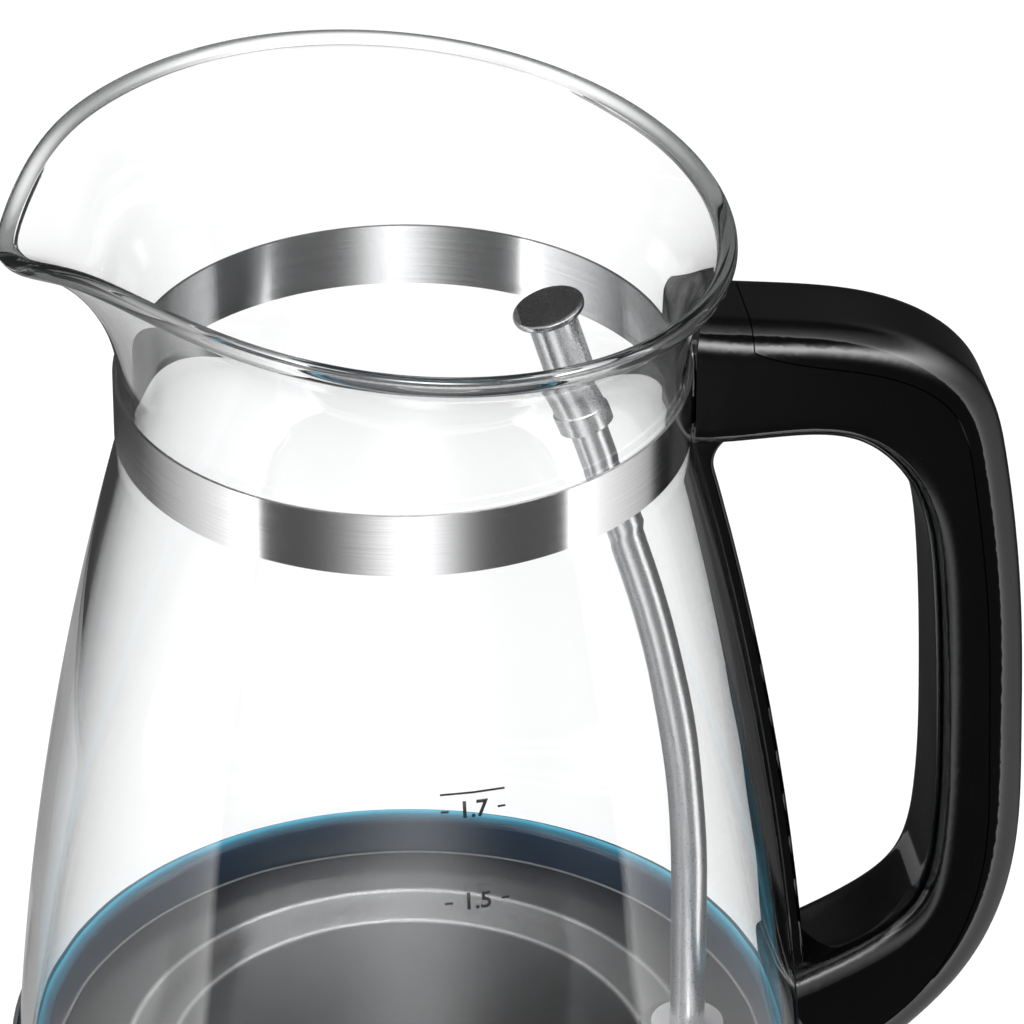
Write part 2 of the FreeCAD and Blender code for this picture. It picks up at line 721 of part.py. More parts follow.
def collar():
    """Brushed steel skirt round the lower housing, turned in at its foot and slotted for the lever."""
    t = COLLAR_THICK
    outer = [
        (COLLAR_LIP_R, COLLAR_LOW_Z),
        (COLLAR_LOW_R - COLLAR_EDGE, COLLAR_LOW_Z),
        (COLLAR_LOW_R, COLLAR_LOW_Z + COLLAR_EDGE),
        (collar_radius(COLLAR_TOP_Z), COLLAR_TOP_Z),
    ]
    inner = [
        (collar_radius(COLLAR_TOP_Z) - t, COLLAR_TOP_Z),
        (COLLAR_LOW_R - t, COLLAR_LOW_Z + COLLAR_EDGE),
        (COLLAR_LOW_R - COLLAR_EDGE - t / 2, COLLAR_LOW_Z + t),
        (COLLAR_LIP_R, COLLAR_LOW_Z + t),
    ]
    shell = revolve(outer + inner)
    shell = shell.cut(lever_slot(LEVER_THICK / 2))
    for y in (-1, 1):
        shell = shell.cut(handle_screw_hole(y, SCREW_R + SEAT_GAP))
    return shell


def lever_slot(rise):
    """Window that the switch lever passes through, with room for its swing below and its own rise above."""
    half = LEVER_WIDTH / 2 + SLOT_GAP
    reach = COLLAR_LOW_R - LEVER_PIVOT_X + COLLAR_THICK
    drop = reach * math.tan(math.radians(LEVER_SWING)) + LEVER_THICK / 2
    z = (LEVER_PIVOT_Z - max(drop, rise) - SLOT_GAP, LEVER_PIVOT_Z + rise + SLOT_GAP)
    return block((LEVER_PIVOT_X - LEVER_HUB_R, 2 * COLLAR_LOW_R), (-half, half), z)


def chassis():
    """Moulded ring that clamps the floor to the glass and carries the control."""
    skirt = chassis_skirt_r()
    ring_r = flange_r()
    t = CHASSIS_THICK
    z_low = COLLAR_LOW_Z + BOTTOM_THICK
    body = revolve(
        [
            (skirt - t, z_low),
            (skirt, z_low),
            (skirt, CHASSIS_TOP_Z - t),
            (ring_r, CHASSIS_TOP_Z - t),
            (ring_r, CHASSIS_TOP_Z),
            (CHASSIS_INNER_R, CHASSIS_TOP_Z),
            (CHASSIS_INNER_R, CHASSIS_TOP_Z - t),
            (skirt - t, CHASSIS_TOP_Z - t),
        ]
    )
    body = body.cut(lever_slot(LEVER_HUB_R))
    for boss in around(screw_boss(skirt - t, z_low), SCREW_COUNT, SCREW_TURN):
        body = body.fuse(boss)
    for y in (-1, 1):
        ear_y = y * (LEVER_WIDTH / 2 + SLOT_GAP + EAR_BLOCK / 2)
        ear_x = (LEVER_PIVOT_X - LEVER_HUB_R, skirt - t / 2)
        ear_z = (LEVER_PIVOT_Z - LEVER_HUB_R, LEVER_PIVOT_Z + LEVER_HUB_R)
        body = body.fuse(block(ear_x, (ear_y - EAR_BLOCK / 2, ear_y + EAR_BLOCK / 2), ear_z))
    body = body.cut(lever_pin())
    for hole in screw_holes():
        body = body.cut(hole)
    for y in (-1, 1):
        seat = handle_screw_seat(y)
        body = body.cut(handle_screw_hole(y, SCREW_R + SEAT_GAP))
        head_room = SCREW_HEAD_HEIGHT + SEAT_GAP
        body = body.cut(cylinder(SCREW_HEAD_R + SEAT_GAP, seat, Vec(-1, 0, 0), head_room))
    for angle in (LAMP_ANGLE, -LAMP_ANGLE):
        body = body.cut(cylinder(LAMP_R + SEAT_GAP, lamp_point(angle, 0), UP, FLOOR_Z))
    for room in lamp_blocks(SEAT_GAP):
        body = body.cut(room)
    return body.removeSplitter()


def screw_boss(wall_r, z_low):
    """Round boss inside the chassis skirt that takes one bottom screw."""
    centre = Vec(wall_r - SCREW_HEAD_R, 0, z_low)
    return cylinder(SCREW_HEAD_R + CHASSIS_THICK / 2, centre, UP, SCREW_LENGTH + BOTTOM_THICK)


def bottom_screw_point():
    return Vec(chassis_skirt_r() - CHASSIS_THICK - SCREW_HEAD_R, 0, COLLAR_LOW_Z + SCREW_HEAD_HEIGHT)


def screw_holes():
    hole = cylinder(SCREW_R, bottom_screw_point(), UP, SCREW_LENGTH + SEAT_GAP)
    return around(hole, SCREW_COUNT, SCREW_TURN)


def bottom_screws():
    one = screw(bottom_screw_point(), UP)
    return Part.makeCompound(around(one, SCREW_COUNT, SCREW_TURN))


def bottom_cover():
    """Lower cover with the well that the base's socket enters."""
    z = (COLLAR_LOW_Z, COLLAR_LOW_Z + BOTTOM_THICK)
    wall = CAVITY_R + CAVITY_WALL
    cover = revolve(
        [
            (CAVITY_R, z[0]),
            (COLLAR_LIP_R - SOFT_GAP, z[0]),
            (COLLAR_LIP_R - SOFT_GAP, z[1] - SEAT_GAP),
            (wall, z[1] - SEAT_GAP),
            (wall, CAVITY_TOP_Z),
            (CAVITY_R, CAVITY_TOP_Z),
        ]
    )
    point = bottom_screw_point()
    sink = cylinder(SCREW_HEAD_R + SEAT_GAP, Vec(point.x, 0, 0), UP, point.z)
    sink = sink.fuse(cylinder(SCREW_R + SEAT_GAP, Vec(point.x, 0, 0), UP, 2 * point.z))
    for hole in around(sink, SCREW_COUNT, SCREW_TURN):
        cover = cover.cut(hole)
    return cover


def control_body():
    """Control block over the well, with two posts that press its discs to the spreader."""
    z = CAVITY_TOP_Z + SEAT_GAP
    body = cylinder(CONTROL_R, Vec(0, 0, z), UP, CONTROL_HEIGHT)
    disc_z = spreader_low() - SEAT_GAP - DISC_THICK
    for side in (-1, 1):
        post = cylinder(POST_R, Vec(0, side * DISC_SPACING / 2, z), UP, disc_z - z)
        body = body.fuse(post)
    body = body.fuse(tube(PLUG_RING_R - SEAT_GAP, PLUG_PIN_R + CONTROL_NECK_WALL, z - CONTROL_NECK_DROP, z))
    body = body.cut(cylinder(PLUG_PIN_R, Vec(0, 0, z - PLUG_REACH), UP, PLUG_REACH + CONTROL_HEIGHT / 2))
    return body.cut(tube(PLUG_RING_R, PLUG_RING_R - PLUG_RING_WALL, z - PLUG_REACH, z + CONTROL_HEIGHT / 3))


def spreader_low():
    return FLOOR_Z - FLOOR_STEP_DROP - PLATE_THICK - SPREADER_THICK


def snap_discs():
    """Two bimetal discs that stop the kettle boiling dry."""
    z = spreader_low() - SEAT_GAP - DISC_THICK
    discs = [cylinder(DISC_R, Vec(0, side * DISC_SPACING / 2, z), UP, DISC_THICK) for side in (-1, 1)]
    return Part.makeCompound(discs)


def plug_contacts():
    """Centre pin and contact ring of the jug's half of the connector."""
    z = CAVITY_TOP_Z + SEAT_GAP
    low = z - PLUG_REACH
    pin = cylinder(PLUG_PIN_R, Vec(0, 0, low), UP, PLUG_REACH + CONTROL_HEIGHT / 2)
    pin = pin.makeChamfer(PLUG_PIN_R / 3, [e for e in pin.Edges if abs(e.BoundBox.ZMax - low) < 1e-6])
    ring = tube(PLUG_RING_R, PLUG_RING_R - PLUG_RING_WALL, low + PLUG_RING_STEP, z + CONTROL_HEIGHT / 3)
    return Part.makeCompound([pin, ring])


def heat_spreader():
    """Aluminium disc brazed under the floor."""
    return cylinder(SPREADER_R, Vec(0, 0, spreader_low()), UP, SPREADER_THICK)


def element_path():
    """Open ring of the element, with its gap towards the handle."""
    z = spreader_low() - ELEMENT_TUBE_R
    half_gap = ELEMENT_GAP_ANGLE / 2
    ends = [polar(ELEMENT_R, a, z) for a in (half_gap, 180.0, 360.0 - half_gap)]
    return Part.Arc(*ends).toShape()


def heating_element():
    """Sheathed element bent into an open ring."""
    return pipe(Part.Wire(element_path()), ELEMENT_TUBE_R)


def element_terminals():
    """Cold pins at the two ends of the element."""
    pins = []
    edge = element_path()
    ends = [(edge.FirstParameter, -1.0), (edge.LastParameter, 1.0)]
    for parameter, sense in ends:
        direction = edge.tangentAt(parameter) * sense
        pins.append(cylinder(TERMINAL_R, edge.valueAt(parameter), direction, TERMINAL_LENGTH))
    return Part.makeCompound(pins)


def switch_box_z():
    """Low and high faces of the steam switch; its top is under the steam tube's mouth."""
    return TUBE_LOW_Z - SEAT_GAP - SWITCH_HEIGHT, TUBE_LOW_Z - SEAT_GAP


def steam_switch():
    """Open-topped switch housing under the steam tube."""
    z_low, z_high = switch_box_z()
    x = (SWITCH_X, SWITCH_X + SWITCH_LENGTH)
    half = SWITCH_WIDTH / 2
    w = SWITCH_WALL
    box = block(x, (-half, half), (z_low, z_high))
    box = box.cut(block((x[0] + w, x[1] - w), (-half + w, half - w), (z_low + w, z_high - w)))
    box = box.cut(cylinder(TUBE_R - TUBE_WALL, tube_foot(z_low + w), UP, SWITCH_HEIGHT))
    leg_z = COLLAR_LOW_Z + BOTTOM_THICK
    for y in (-1, 1):
        leg = Vec(x[0] + SWITCH_LEG_INSET, y * (half - SWITCH_LEG_INSET), leg_z)
        box = box.fuse(cylinder(SWITCH_LEG_R, leg, UP, z_low - leg_z))
    return box


def steam_disc():
    """Bimetal disc that snaps over in the steam."""
    z_low, z_high = switch_box_z()
    room = z_high - z_low - 2 * SWITCH_WALL
    radius = room / 2 - SEAT_GAP
    x = SWITCH_X + SWITCH_WALL + SEAT_GAP
    return cylinder(radius, Vec(x, 0, (z_low + z_high) / 2), Vec(1, 0, 0), DISC_THICK)


def lever_pin():
    """Steel pin that the switch lever rocks on."""
    half = LEVER_WIDTH / 2 + SLOT_GAP + EAR_BLOCK
    return cylinder(LEVER_PIN_R, Vec(LEVER_PIVOT_X, -half, LEVER_PIVOT_Z), Vec(0, 1, 0), 2 * half)


def switch_lever():
    """Rocking lever: a hub, an arm through the collar and a rounded paddle outside it."""
    half = LEVER_WIDTH / 2
    x0, z0 = LEVER_PIVOT_X, LEVER_PIVOT_Z
    hub = cylinder(LEVER_HUB_R, Vec(x0, -half, z0), Vec(0, 1, 0), LEVER_WIDTH)
    paddle_x = COLLAR_LOW_R + COLLAR_THICK + SLOT_GAP
    arm = block((x0, paddle_x + PADDLE_THICK), (-half, half), (z0 - LEVER_THICK / 2, z0 + LEVER_THICK / 2))
    pad_z = (z0 - PADDLE_THICK / 2, z0 + PADDLE_THICK / 2)
    paddle = block((paddle_x, paddle_x + PADDLE_LENGTH), (-PADDLE_WIDTH / 2, PADDLE_WIDTH / 2), pad_z)
    far = paddle_x + PADDLE_LENGTH
    corners = [e for e in paddle.Edges if e.BoundBox.ZLength > 1 and abs(e.BoundBox.XMin - far) < 1e-6]
    paddle = paddle.makeFillet(PADDLE_WIDTH / 3, corners)
    rims = [e for e in paddle.Edges if e.BoundBox.ZLength < 1e-6 and e.BoundBox.XMax > paddle_x + 1]
    paddle = paddle.makeFillet(PADDLE_THICK / 4, rims)
    lever = hub.fuse(arm).fuse(paddle)
    bore = cylinder(LEVER_PIN_R + PIN_GAP, Vec(x0, -LEVER_WIDTH, z0), Vec(0, 1, 0), 2 * LEVER_WIDTH)
    return lever.cut(bore).removeSplitter()


def lamp_point(angle, z):
    """Place of a lamp under the light ring."""
    r_mid = glass_inner_low() - LIGHT_RING_GAP - LIGHT_RING_THICK / 2
    return polar(r_mid, angle, z)


def lamp_top():
    return FLOOR_Z - FLANGE_DROP - SEAT_GAP


def lamps():
    """Two small blue lamps that shine up through the floor's flange."""
    found = []
    for angle in (LAMP_ANGLE, -LAMP_ANGLE):
        found.append(cylinder(LAMP_R, lamp_point(angle, lamp_top() - LAMP_HEIGHT), UP, LAMP_HEIGHT))
    return Part.makeCompound(found)


def lamp_blocks(gap):
    """Outline of each lamp's circuit board, grown by a gap on every side."""
    depth, width, thick = BOARD_SIZE
    top = lamp_top() - LAMP_HEIGHT
    centre = lamp_point(LAMP_ANGLE, top)
    found = []
    for side in (-1, 1):
        x = (-width / 2 - gap, width / 2 + gap)
        y = sorted((side * (centre.y - depth - gap), side * (centre.y + LAMP_R + gap)))
        found.append(block(x, y, (top - thick - gap, top + gap)))
    return found


def lamp_boards():
    """Circuit boards that hold the lamps under the chassis."""
    return Part.makeCompound(lamp_blocks(0.0))


def base_shell():
    """Upper shell of the power base, with a rounded edge and the hole for the socket."""
    t = BASE_WALL
    z_low = FOOT_HEIGHT
    outer = Part.Arc(
        Vec(BASE_R, 0, BASE_TOP_Z - BASE_EDGE),
        Vec(BASE_R - BASE_EDGE * (1 - math.sqrt(0.5)), 0, BASE_TOP_Z - BASE_EDGE * (1 - math.sqrt(0.5))),
        Vec(BASE_R - BASE_EDGE, 0, BASE_TOP_Z),
    )
    corners = [
        Vec(BASE_R - BASE_EDGE, 0, BASE_TOP_Z),
        Vec(SOCKET_R + SEAT_GAP, 0, BASE_TOP_Z),
        Vec(SOCKET_R + SEAT_GAP, 0, BASE_TOP_Z - t),
        Vec(BASE_R - BASE_EDGE, 0, BASE_TOP_Z - t),
        Vec(BASE_R - t, 0, BASE_TOP_Z - BASE_EDGE),
        Vec(BASE_R - t, 0, z_low),
        Vec(BASE_R, 0, z_low),
        Vec(BASE_R, 0, BASE_TOP_Z - BASE_EDGE),
    ]
    edges = [outer.toShape()]
    for a, b in zip(corners, corners[1:]):
        edges.append(Part.LineSegment(a, b).toShape())
    shell = Part.Face(Part.Wire(edges)).revolve(Vec(0, 0, 0), UP, 360)
    for boss in around(base_boss(), SCREW_COUNT):
        shell = shell.fuse(boss)
    for hole in around(base_screw_hole(SCREW_R), SCREW_COUNT):
        shell = shell.cut(hole)
    return shell.cut(cord_inlet()).removeSplitter()


def base_screw_r():
    return BASE_R - BASE_WALL - 3 * SCREW_HEAD_R


def base_boss():
    z = FOOT_HEIGHT + BASE_PLATE_THICK
    return cylinder(SCREW_HEAD_R, Vec(base_screw_r(), 0, z), UP, BASE_TOP_Z - BASE_WALL - z)


def base_screw_hole(radius):
    return cylinder(radius, Vec(base_screw_r(), 0, FOOT_HEIGHT), UP, SCREW_LENGTH + SCREW_HEAD_HEIGHT)


def cord_inlet():
    """Round notch at the base's back edge, where a mains lead enters."""
    return cylinder(CORD_INLET_R, Vec(BASE_R - 2 * BASE_WALL, 0, FOOT_HEIGHT), Vec(1, 0, 0), 4 * BASE_WALL)


def base_plate():
    """Lower cover of the base."""
    z = FOOT_HEIGHT
    plate = cylinder(BASE_R - BASE_WALL - SEAT_GAP, Vec(0, 0, z), UP, BASE_PLATE_THICK)
    for hole in around(base_screw_hole(SCREW_HEAD_R + SEAT_GAP), SCREW_COUNT):
        plate = plate.cut(hole)
    return plate.cut(cord_inlet())


def base_screws():
    tip = Vec(base_screw_r(), 0, FOOT_HEIGHT + SCREW_HEAD_HEIGHT)
    return Part.makeCompound(around(screw(tip, UP, SCREW_LENGTH - SEAT_GAP), SCREW_COUNT))


def base_feet():
    """Rubber pads under the base, and one under its socket that takes the weight of the jug."""
    edge_pads = around(foot_pad(FOOT_R, FOOT_CIRCLE_R), FOOT_COUNT, 180.0 / FOOT_COUNT)
    return Part.makeCompound(edge_pads + [foot_pad(CENTRE_FOOT_R, 0.0)])


def foot_pad(radius, distance):
    """Round pad with an eased lower edge, at that distance from the axis."""
    pad = cylinder(radius, Vec(distance, 0, 0), UP, FOOT_HEIGHT)
    return pad.makeFillet(FOOT_HEIGHT / 3, [e for e in pad.Edges if e.BoundBox.ZMax < 1e-6])


def base_socket():
    """Turned-up socket of the base with a centre hole and an annular groove."""
    z_low = FOOT_HEIGHT + BASE_PLATE_THICK
    z_flange = BASE_TOP_Z - BASE_WALL
    body = revolve(
        [
            (0, z_low),
            (SOCKET_FLANGE_R, z_low),
            (SOCKET_FLANGE_R, z_flange),
            (SOCKET_R, z_flange),
            (SOCKET_R, SOCKET_TOP_Z - SOCKET_EDGE),
            (SOCKET_R - SOCKET_EDGE, SOCKET_TOP_Z),
            (0, SOCKET_TOP_Z),
        ]
    )
    for r_out, r_in in contact_walls():
        body = body.cut(tube(r_out, r_in, socket_floor(), SOCKET_TOP_Z + OVERCUT))
    return body


def socket_floor():
    return CAVITY_TOP_Z + SEAT_GAP - PLUG_REACH - SOFT_GAP


def contact_walls():
    """Outer and inner radius of the centre hole and of the groove in the socket."""
    pin = PLUG_PIN_R + SOFT_GAP + CONTACT_WALL
    ring_in = PLUG_RING_R - PLUG_RING_WALL - SOFT_GAP - CONTACT_WALL
    return [(pin, 0.0), (PLUG_RING_R + SOFT_GAP, ring_in)]


def base_contacts():
    """Brass contact sleeves in the socket's hole and groove."""
    low = socket_floor()
    hole, groove = contact_walls()
    sleeve = tube(hole[0], hole[0] - CONTACT_WALL, low, SOCKET_TOP_Z - CONTACT_DROP)
    ring = tube(groove[1] + CONTACT_WALL, groove[1], low, SOCKET_TOP_Z - CONTACT_DROP)
    return Part.makeCompound([sleeve, ring])


def build():
    """Every piece of the kettle by its node's name."""
    frame, cover = handle_parts()
    return {
        "glass_jug": glass_jug(),
        "neck_band": neck_band(),
        "band_clamp_screw": clamp_screw(),
        "handle_frame": frame,
        "handle_cover": cover,
        "handle_screws": handle_screws(),
        "light_ring": light_ring(),
        "seal_ring": seal_ring(),
        "heating_plate": heating_plate(),
        "steam_tube": steam_tube(),
        "steam_cap": steam_cap(),
        "tube_grommet": tube_grommet(),
        "heat_spreader": heat_spreader(),
        "heating_element": heating_element(),
        "element_terminals": element_terminals(),
        "chassis": chassis(),
        "collar": collar(),
        "bottom_cover": bottom_cover(),
        "bottom_screws": bottom_screws(),
        "control_body": control_body(),
        "snap_discs": snap_discs(),
        "plug_contacts": plug_contacts(),
        "steam_switch": steam_switch(),
        "steam_disc": steam_disc(),
        "lever_pin": lever_pin(),
        "switch_lever": switch_lever(),
        "lamps": lamps(),
        "lamp_boards": lamp_boards(),
        "base_shell": base_shell(),
        "base_plate": base_plate(),
        "base_screws": base_screws(),
        "base_feet": base_feet(),
        "base_socket": base_socket(),
        "base_contacts": base_contacts(),
    }


def main():
    os.makedirs("parts", exist_ok=True)
    for name, shape in build().items():
        solids = len(shape.Solids)
        print(f"{name:18s} solids {solids} valid {shape.isValid()} volume {shape.Volume:10.1f}")
        shape.exportStep(f"parts/{name}.step")


main()
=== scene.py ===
"""Looks of a glass electric kettle on its power base.

Clear blown glass, brushed steel, a gloss black handle and a lit floor ring. Metres, in the frame of the
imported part: +Z up from the table, +X towards the handle, -X towards the pouring lip.
"""

import json
import math

import bmesh
import bpy
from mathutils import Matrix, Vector


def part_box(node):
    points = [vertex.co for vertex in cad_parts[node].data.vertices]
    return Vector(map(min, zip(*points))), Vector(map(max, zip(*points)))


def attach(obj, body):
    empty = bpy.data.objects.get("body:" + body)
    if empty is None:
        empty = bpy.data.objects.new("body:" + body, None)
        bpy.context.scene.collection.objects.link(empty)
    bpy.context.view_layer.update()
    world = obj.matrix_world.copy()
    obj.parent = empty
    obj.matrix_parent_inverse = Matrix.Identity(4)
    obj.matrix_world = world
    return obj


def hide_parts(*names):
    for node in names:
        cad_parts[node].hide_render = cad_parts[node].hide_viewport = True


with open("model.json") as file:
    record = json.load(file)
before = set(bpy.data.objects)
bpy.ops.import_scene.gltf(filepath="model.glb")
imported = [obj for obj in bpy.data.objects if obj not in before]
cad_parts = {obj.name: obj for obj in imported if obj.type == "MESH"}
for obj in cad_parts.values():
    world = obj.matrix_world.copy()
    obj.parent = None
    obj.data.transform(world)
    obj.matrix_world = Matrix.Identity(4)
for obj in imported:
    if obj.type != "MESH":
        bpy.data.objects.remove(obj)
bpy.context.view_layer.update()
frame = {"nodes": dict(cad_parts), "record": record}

# Glass jug, as in the part; points of the belly are (radius, height)
GLASS_WALL = 0.0026
GLASS_BOTTOM = (0.0784, 0.050)
GLASS_BELLY = (0.0706, 0.120)
NECK_R = 0.0542
NECK_LOW_Z = 0.196
NECK_HIGH_Z = 0.211
MOUTH_R = 0.0641
MOUTH_OVAL = 0.05
MOUTH_RISE = 0.0334
MOUTH_TILT = 0.0066
MOUTH_LEAN = 38.0
LIP_REACH = 0.0134
LIP_HALF_ANGLE = 28.0
LIP_SHARPNESS = 1.5
LIP_DIP = 0.0093
LIP_DIP_ANGLE = 17.5
LIP_LEAN = 86.0
BEAD_R = 0.00185
AROUND_STEPS = 288
BODY_STEPS = 48
NECK_STEPS = 6
FLARE_STEPS = 26
BEAD_STEPS = 18

# Level marks on the near side of the glass: text, height on the glass, and whether it is the upper limit
MARKS = [("1.7", 0.1513, True), ("1.5", 0.1330, False), ("1.0", 0.1020, False), ("0.5", 0.0710, False)]
MARK_TURN = 3.0
MARK_LETTER = 0.0034
MARK_TYPE_PER_LETTER = 1.35
MARK_WEIGHT = 0.0001
MARK_DASH_LENGTH = 0.0015
MARK_DASH_THICK = 0.0004
MARK_DASH_OFFSET = 0.0054
MARK_LIFT = 0.00006
MARK_THICK = 0.00005

# Glass: refraction, its faint waves, and how often light is mirrored or bent before it goes straight on
GLASS_IOR = 1.44
WAVE_SCALE = 26.0
WAVE_DETAIL = 1.0
WAVE_STRENGTH = 0.05
WAVE_DEPTH = 0.004
MIRROR_LIMIT = 2.5
BOUNCE_LIMIT = 9.5

# What the glass lets through, from a straight look (0) to a grazing one (1): a little of the loss is the
# longer way through, most is painted shade for the dark that its edges refract
GLASS_EDGE_SHADE = [
    (0.35, (0.997, 0.999, 0.999)),
    (0.44, (0.989, 0.994, 0.994)),
    (0.54, (0.972, 0.977, 0.977)),
    (0.63, (0.945, 0.95, 0.95)),
    (0.69, (0.905, 0.91, 0.91)),
    (0.75, (0.825, 0.83, 0.83)),
    (0.82, (0.735, 0.74, 0.74)),
]

# The same for the rim's thick bead, where the painted shade draws its dark outlines
BEAD_EDGE_SHADE = [
    (0.10, (0.997, 0.999, 0.999)),
    (0.17, (0.895, 0.90, 0.90)),
    (0.24, (0.525, 0.53, 0.53)),
    (0.32, (0.195, 0.20, 0.20)),
    (0.42, (0.075, 0.08, 0.08)),
    (1.0, (0.075, 0.08, 0.08)),
]

# Noise and colour ramps shared by the materials: roughness and middle of the noise, places of two shades
NOISE_ROUGH = 0.55
NOISE_MIDDLE = 0.5
SHADE_STOPS = (0.25, 0.75)

# Brushing round the axis: breaks of its lines in one radian, and the part turn of its streaks
BRUSH_BREAKS = 2.0
BRUSH_TURN = 0.25

# Brushed steel of the neck band and collar, with its lines counted to the metre
BAND_COLOUR = (0.80, 0.80, 0.81)
BAND_SPREAD = 0.10
BAND_ROUGH = (0.136, 0.2125)
BAND_LINES = 5200.0
BAND_DETAIL = 4.0
BAND_STREAK = 0.85
BAND_BUMP = (0.02, 0.0001)

# Steel floor of the jug, with the radii of its pressed step's edges, which carry a painted highlight
FLOOR_COLOUR = (0.21, 0.215, 0.22)
# Colour of the painted highlight on the step's edges
FLOOR_HIGHLIGHT_COLOUR = (0.85, 0.85, 0.86)
FLOOR_SPREAD = 0.05
FLOOR_ROUGH = (0.19, 0.22)
FLOOR_LINES = 1800.0
FLOOR_DETAIL = 2.0
FLOOR_STREAK = 0.7
FLOOR_EDGES = (0.0485, 0.057)
FLOOR_HIGHLIGHT_HALF = 0.0011
FLOOR_STEP_HIGHLIGHT = 0.3

# Steam cap, with a darker disc on top that is painted shade for the dark room it reflects
CAP_COLOUR = (0.74, 0.74, 0.75)
CAP_SPREAD = 0.05
CAP_DISC_SHADE_COLOUR = (0.25, 0.25, 0.255)
CAP_DISC_SHADE_SPREAD = 0.08
CAP_DISC_DEPTH = 0.0035
CAP_GRAIN = 2600.0
CAP_ROUGH = (0.24, 0.32)

# Even grained surfaces: colour, roughness, grain scale, grain strength, metallic, spread of shades
GRAINED = {
    "tube_steel": ((0.76, 0.76, 0.77), 0.28, 2600.0, 0.04, 1.0, 0.05),
    "matte_black": ((0.014, 0.014, 0.015), 0.55, 1500.0, 0.25, 0.0, 0.12),
    "silicone": ((0.22, 0.22, 0.225), 0.6, 900.0, 0.08, 0.0, 0.12),
    "foot_rubber": ((0.02, 0.02, 0.02), 0.8, 1800.0, 0.3, 0.0, 0.12),
    "aluminium": ((0.62, 0.62, 0.63), 0.42, 1200.0, 0.15, 1.0, 0.12),
    "sheath_steel": ((0.36, 0.34, 0.32), 0.45, 1400.0, 0.1, 1.0, 0.2),
    "contact_brass": ((0.72, 0.52, 0.22), 0.25, 1600.0, 0.05, 1.0, 0.12),
    "bimetal": ((0.55, 0.49, 0.40), 0.35, 2000.0, 0.06, 1.0, 0.12),
    "screw_steel": ((0.56, 0.57, 0.58), 0.3, 1800.0, 0.08, 1.0, 0.12),
}
GRAIN_DETAIL = 5.0
GRAIN_CLOUD = 0.06
GRAIN_CLOUD_DETAIL = 2.0
GRAIN_ROUGH = (0.85, 1.2)
GRAIN_DEPTH = 0.0003

# Polished black moulding
BLACK_TINTS = [(0.3, (0.001, 0.001, 0.0012)), (0.7, (0.002, 0.002, 0.0023))]
BLACK_ROUGH = (0.05, 0.09)
BLACK_HAZE = 60.0
BLACK_HAZE_DETAIL = 6.0
BLACK_IOR = 1.5

# Lit ring: its glow and its own colour, from its upper outer edge (0) down its wall (1)
RING_GLOW = [
    (0.0, (0.03, 0.24, 0.34)),
    (0.08, (0.02, 0.14, 0.21)),
    (0.16, (0.006, 0.030, 0.055)),
    (0.5, (0.004, 0.012, 0.024)),
    (1.0, (0.003, 0.008, 0.015)),
]
RING_TINTS = [(0.0, (0.03, 0.16, 0.22)), (0.4, (0.003, 0.010, 0.020))]
RING_ROUGH = 0.25
RING_REACH = 0.009
RING_SPOTS = 140.0
RING_SPOT_DETAIL = 2.0
RING_SPOT_DEPTH = 0.0006

# Circuit boards and the ink of the level marks
BOARD_TINTS = [(0.45, (0.02, 0.12, 0.04)), (0.6, (0.05, 0.26, 0.09))]
BOARD_ROUGH = (0.35, 0.5)
BOARD_TRACKS = 260.0
BOARD_WANDER = 3.0
INK_TINTS = [(0.3, (0.006, 0.006, 0.007)), (0.7, (0.018, 0.018, 0.02))]
INK_ROUGH = (0.45, 0.65)
INK_WEAR = 2500.0
INK_DETAIL = 3.0

# Smooth shading of the CAD nodes: edges sharper than this stay sharp, corners closer than this are one
SHARP_ANGLE = 32.0
SAME_CORNER = 1e-6

# Camera that matches the photograph
CAMERA_PLACE = (-0.1646, -1.1715, 0.9066)
CAMERA_HEADING = 9.0
CAMERA_PITCH = 31.66
CAMERA_LENS = 254.8
CAMERA_REACH = 100.0
SENSOR = 36.0

# Studio floor: its colour, and the white it shows to the camera near the kettle and far from it
STUDIO_SIZE = 14.0
STUDIO_COLOUR = (0.55, 0.55, 0.55, 1.0)
STUDIO_WHITE = (0.45, 0.85)
STUDIO_NEAR = 0.8
STUDIO_FAR = 2.4

# Drum that only reflections see; its cards are placed in degrees from the camera's side
DRUM_R = 0.34
DRUM_INNER_R = 0.10
DRUM_HEIGHT = 0.95
DRUM_LIFT = 0.002
DRUM_STEPS = 240
DRUM_ROWS = 40
DRUM_TURN = 5.0
MIRRORED_ONCE = 0.5
FRONT_CARD = 59.0
FRONT_GREY = 0.08
FRONT_BRIGHT = 1.4
FRONT_HALF_LEFT = 19.5
FRONT_HALF_RIGHT = 15.0
SIDE_CARD = 122.0
SIDE_BRIGHT = 1.3
SIDE_EDGE_BRIGHT = 2.0
SIDE_EDGE_FADE = 5.0
DARK_CARD = 0.05
PALE_CARD = 0.45
PALE_R = 0.33

# Soft lights on the drum: azimuth, half width, height, half height, strength
GLINT = (180.0, 9.0, 0.27, 0.06, 0.6)
TOP_LIGHT = (25.0, 55.0, 0.38, 0.07, 11.0)

# Room light and lamps: name, place, size, power
ROOM_WHITE = (1.0, 1.0, 1.0, 1.0)
ROOM_LIGHT = 0.42
LAMP_AIM = (0.0, 0.0, 0.15)
LAMPS = [
    ("overhead_softbox", (0.1, 0.3, 1.5), (1.0, 0.7), 14.0),
    ("left_softbox", (-1.3, -0.5, 0.9), (0.7, 1.0), 8.0),
    ("right_softbox", (1.4, -0.1, 0.8), (0.5, 1.0), 5.0),
]


def link(obj):
    """Puts a new object in the scene."""
    bpy.context.scene.collection.objects.link(obj)
    return obj


def mesh_object(name, verts, faces, smooth=True):
    """New mesh object from plain lists."""
    mesh = bpy.data.meshes.new(name)
    mesh.from_pydata(verts, [], faces)
    mesh.validate()
    if smooth:
        mesh.shade_smooth()
    return link(bpy.data.objects.new(name, mesh))


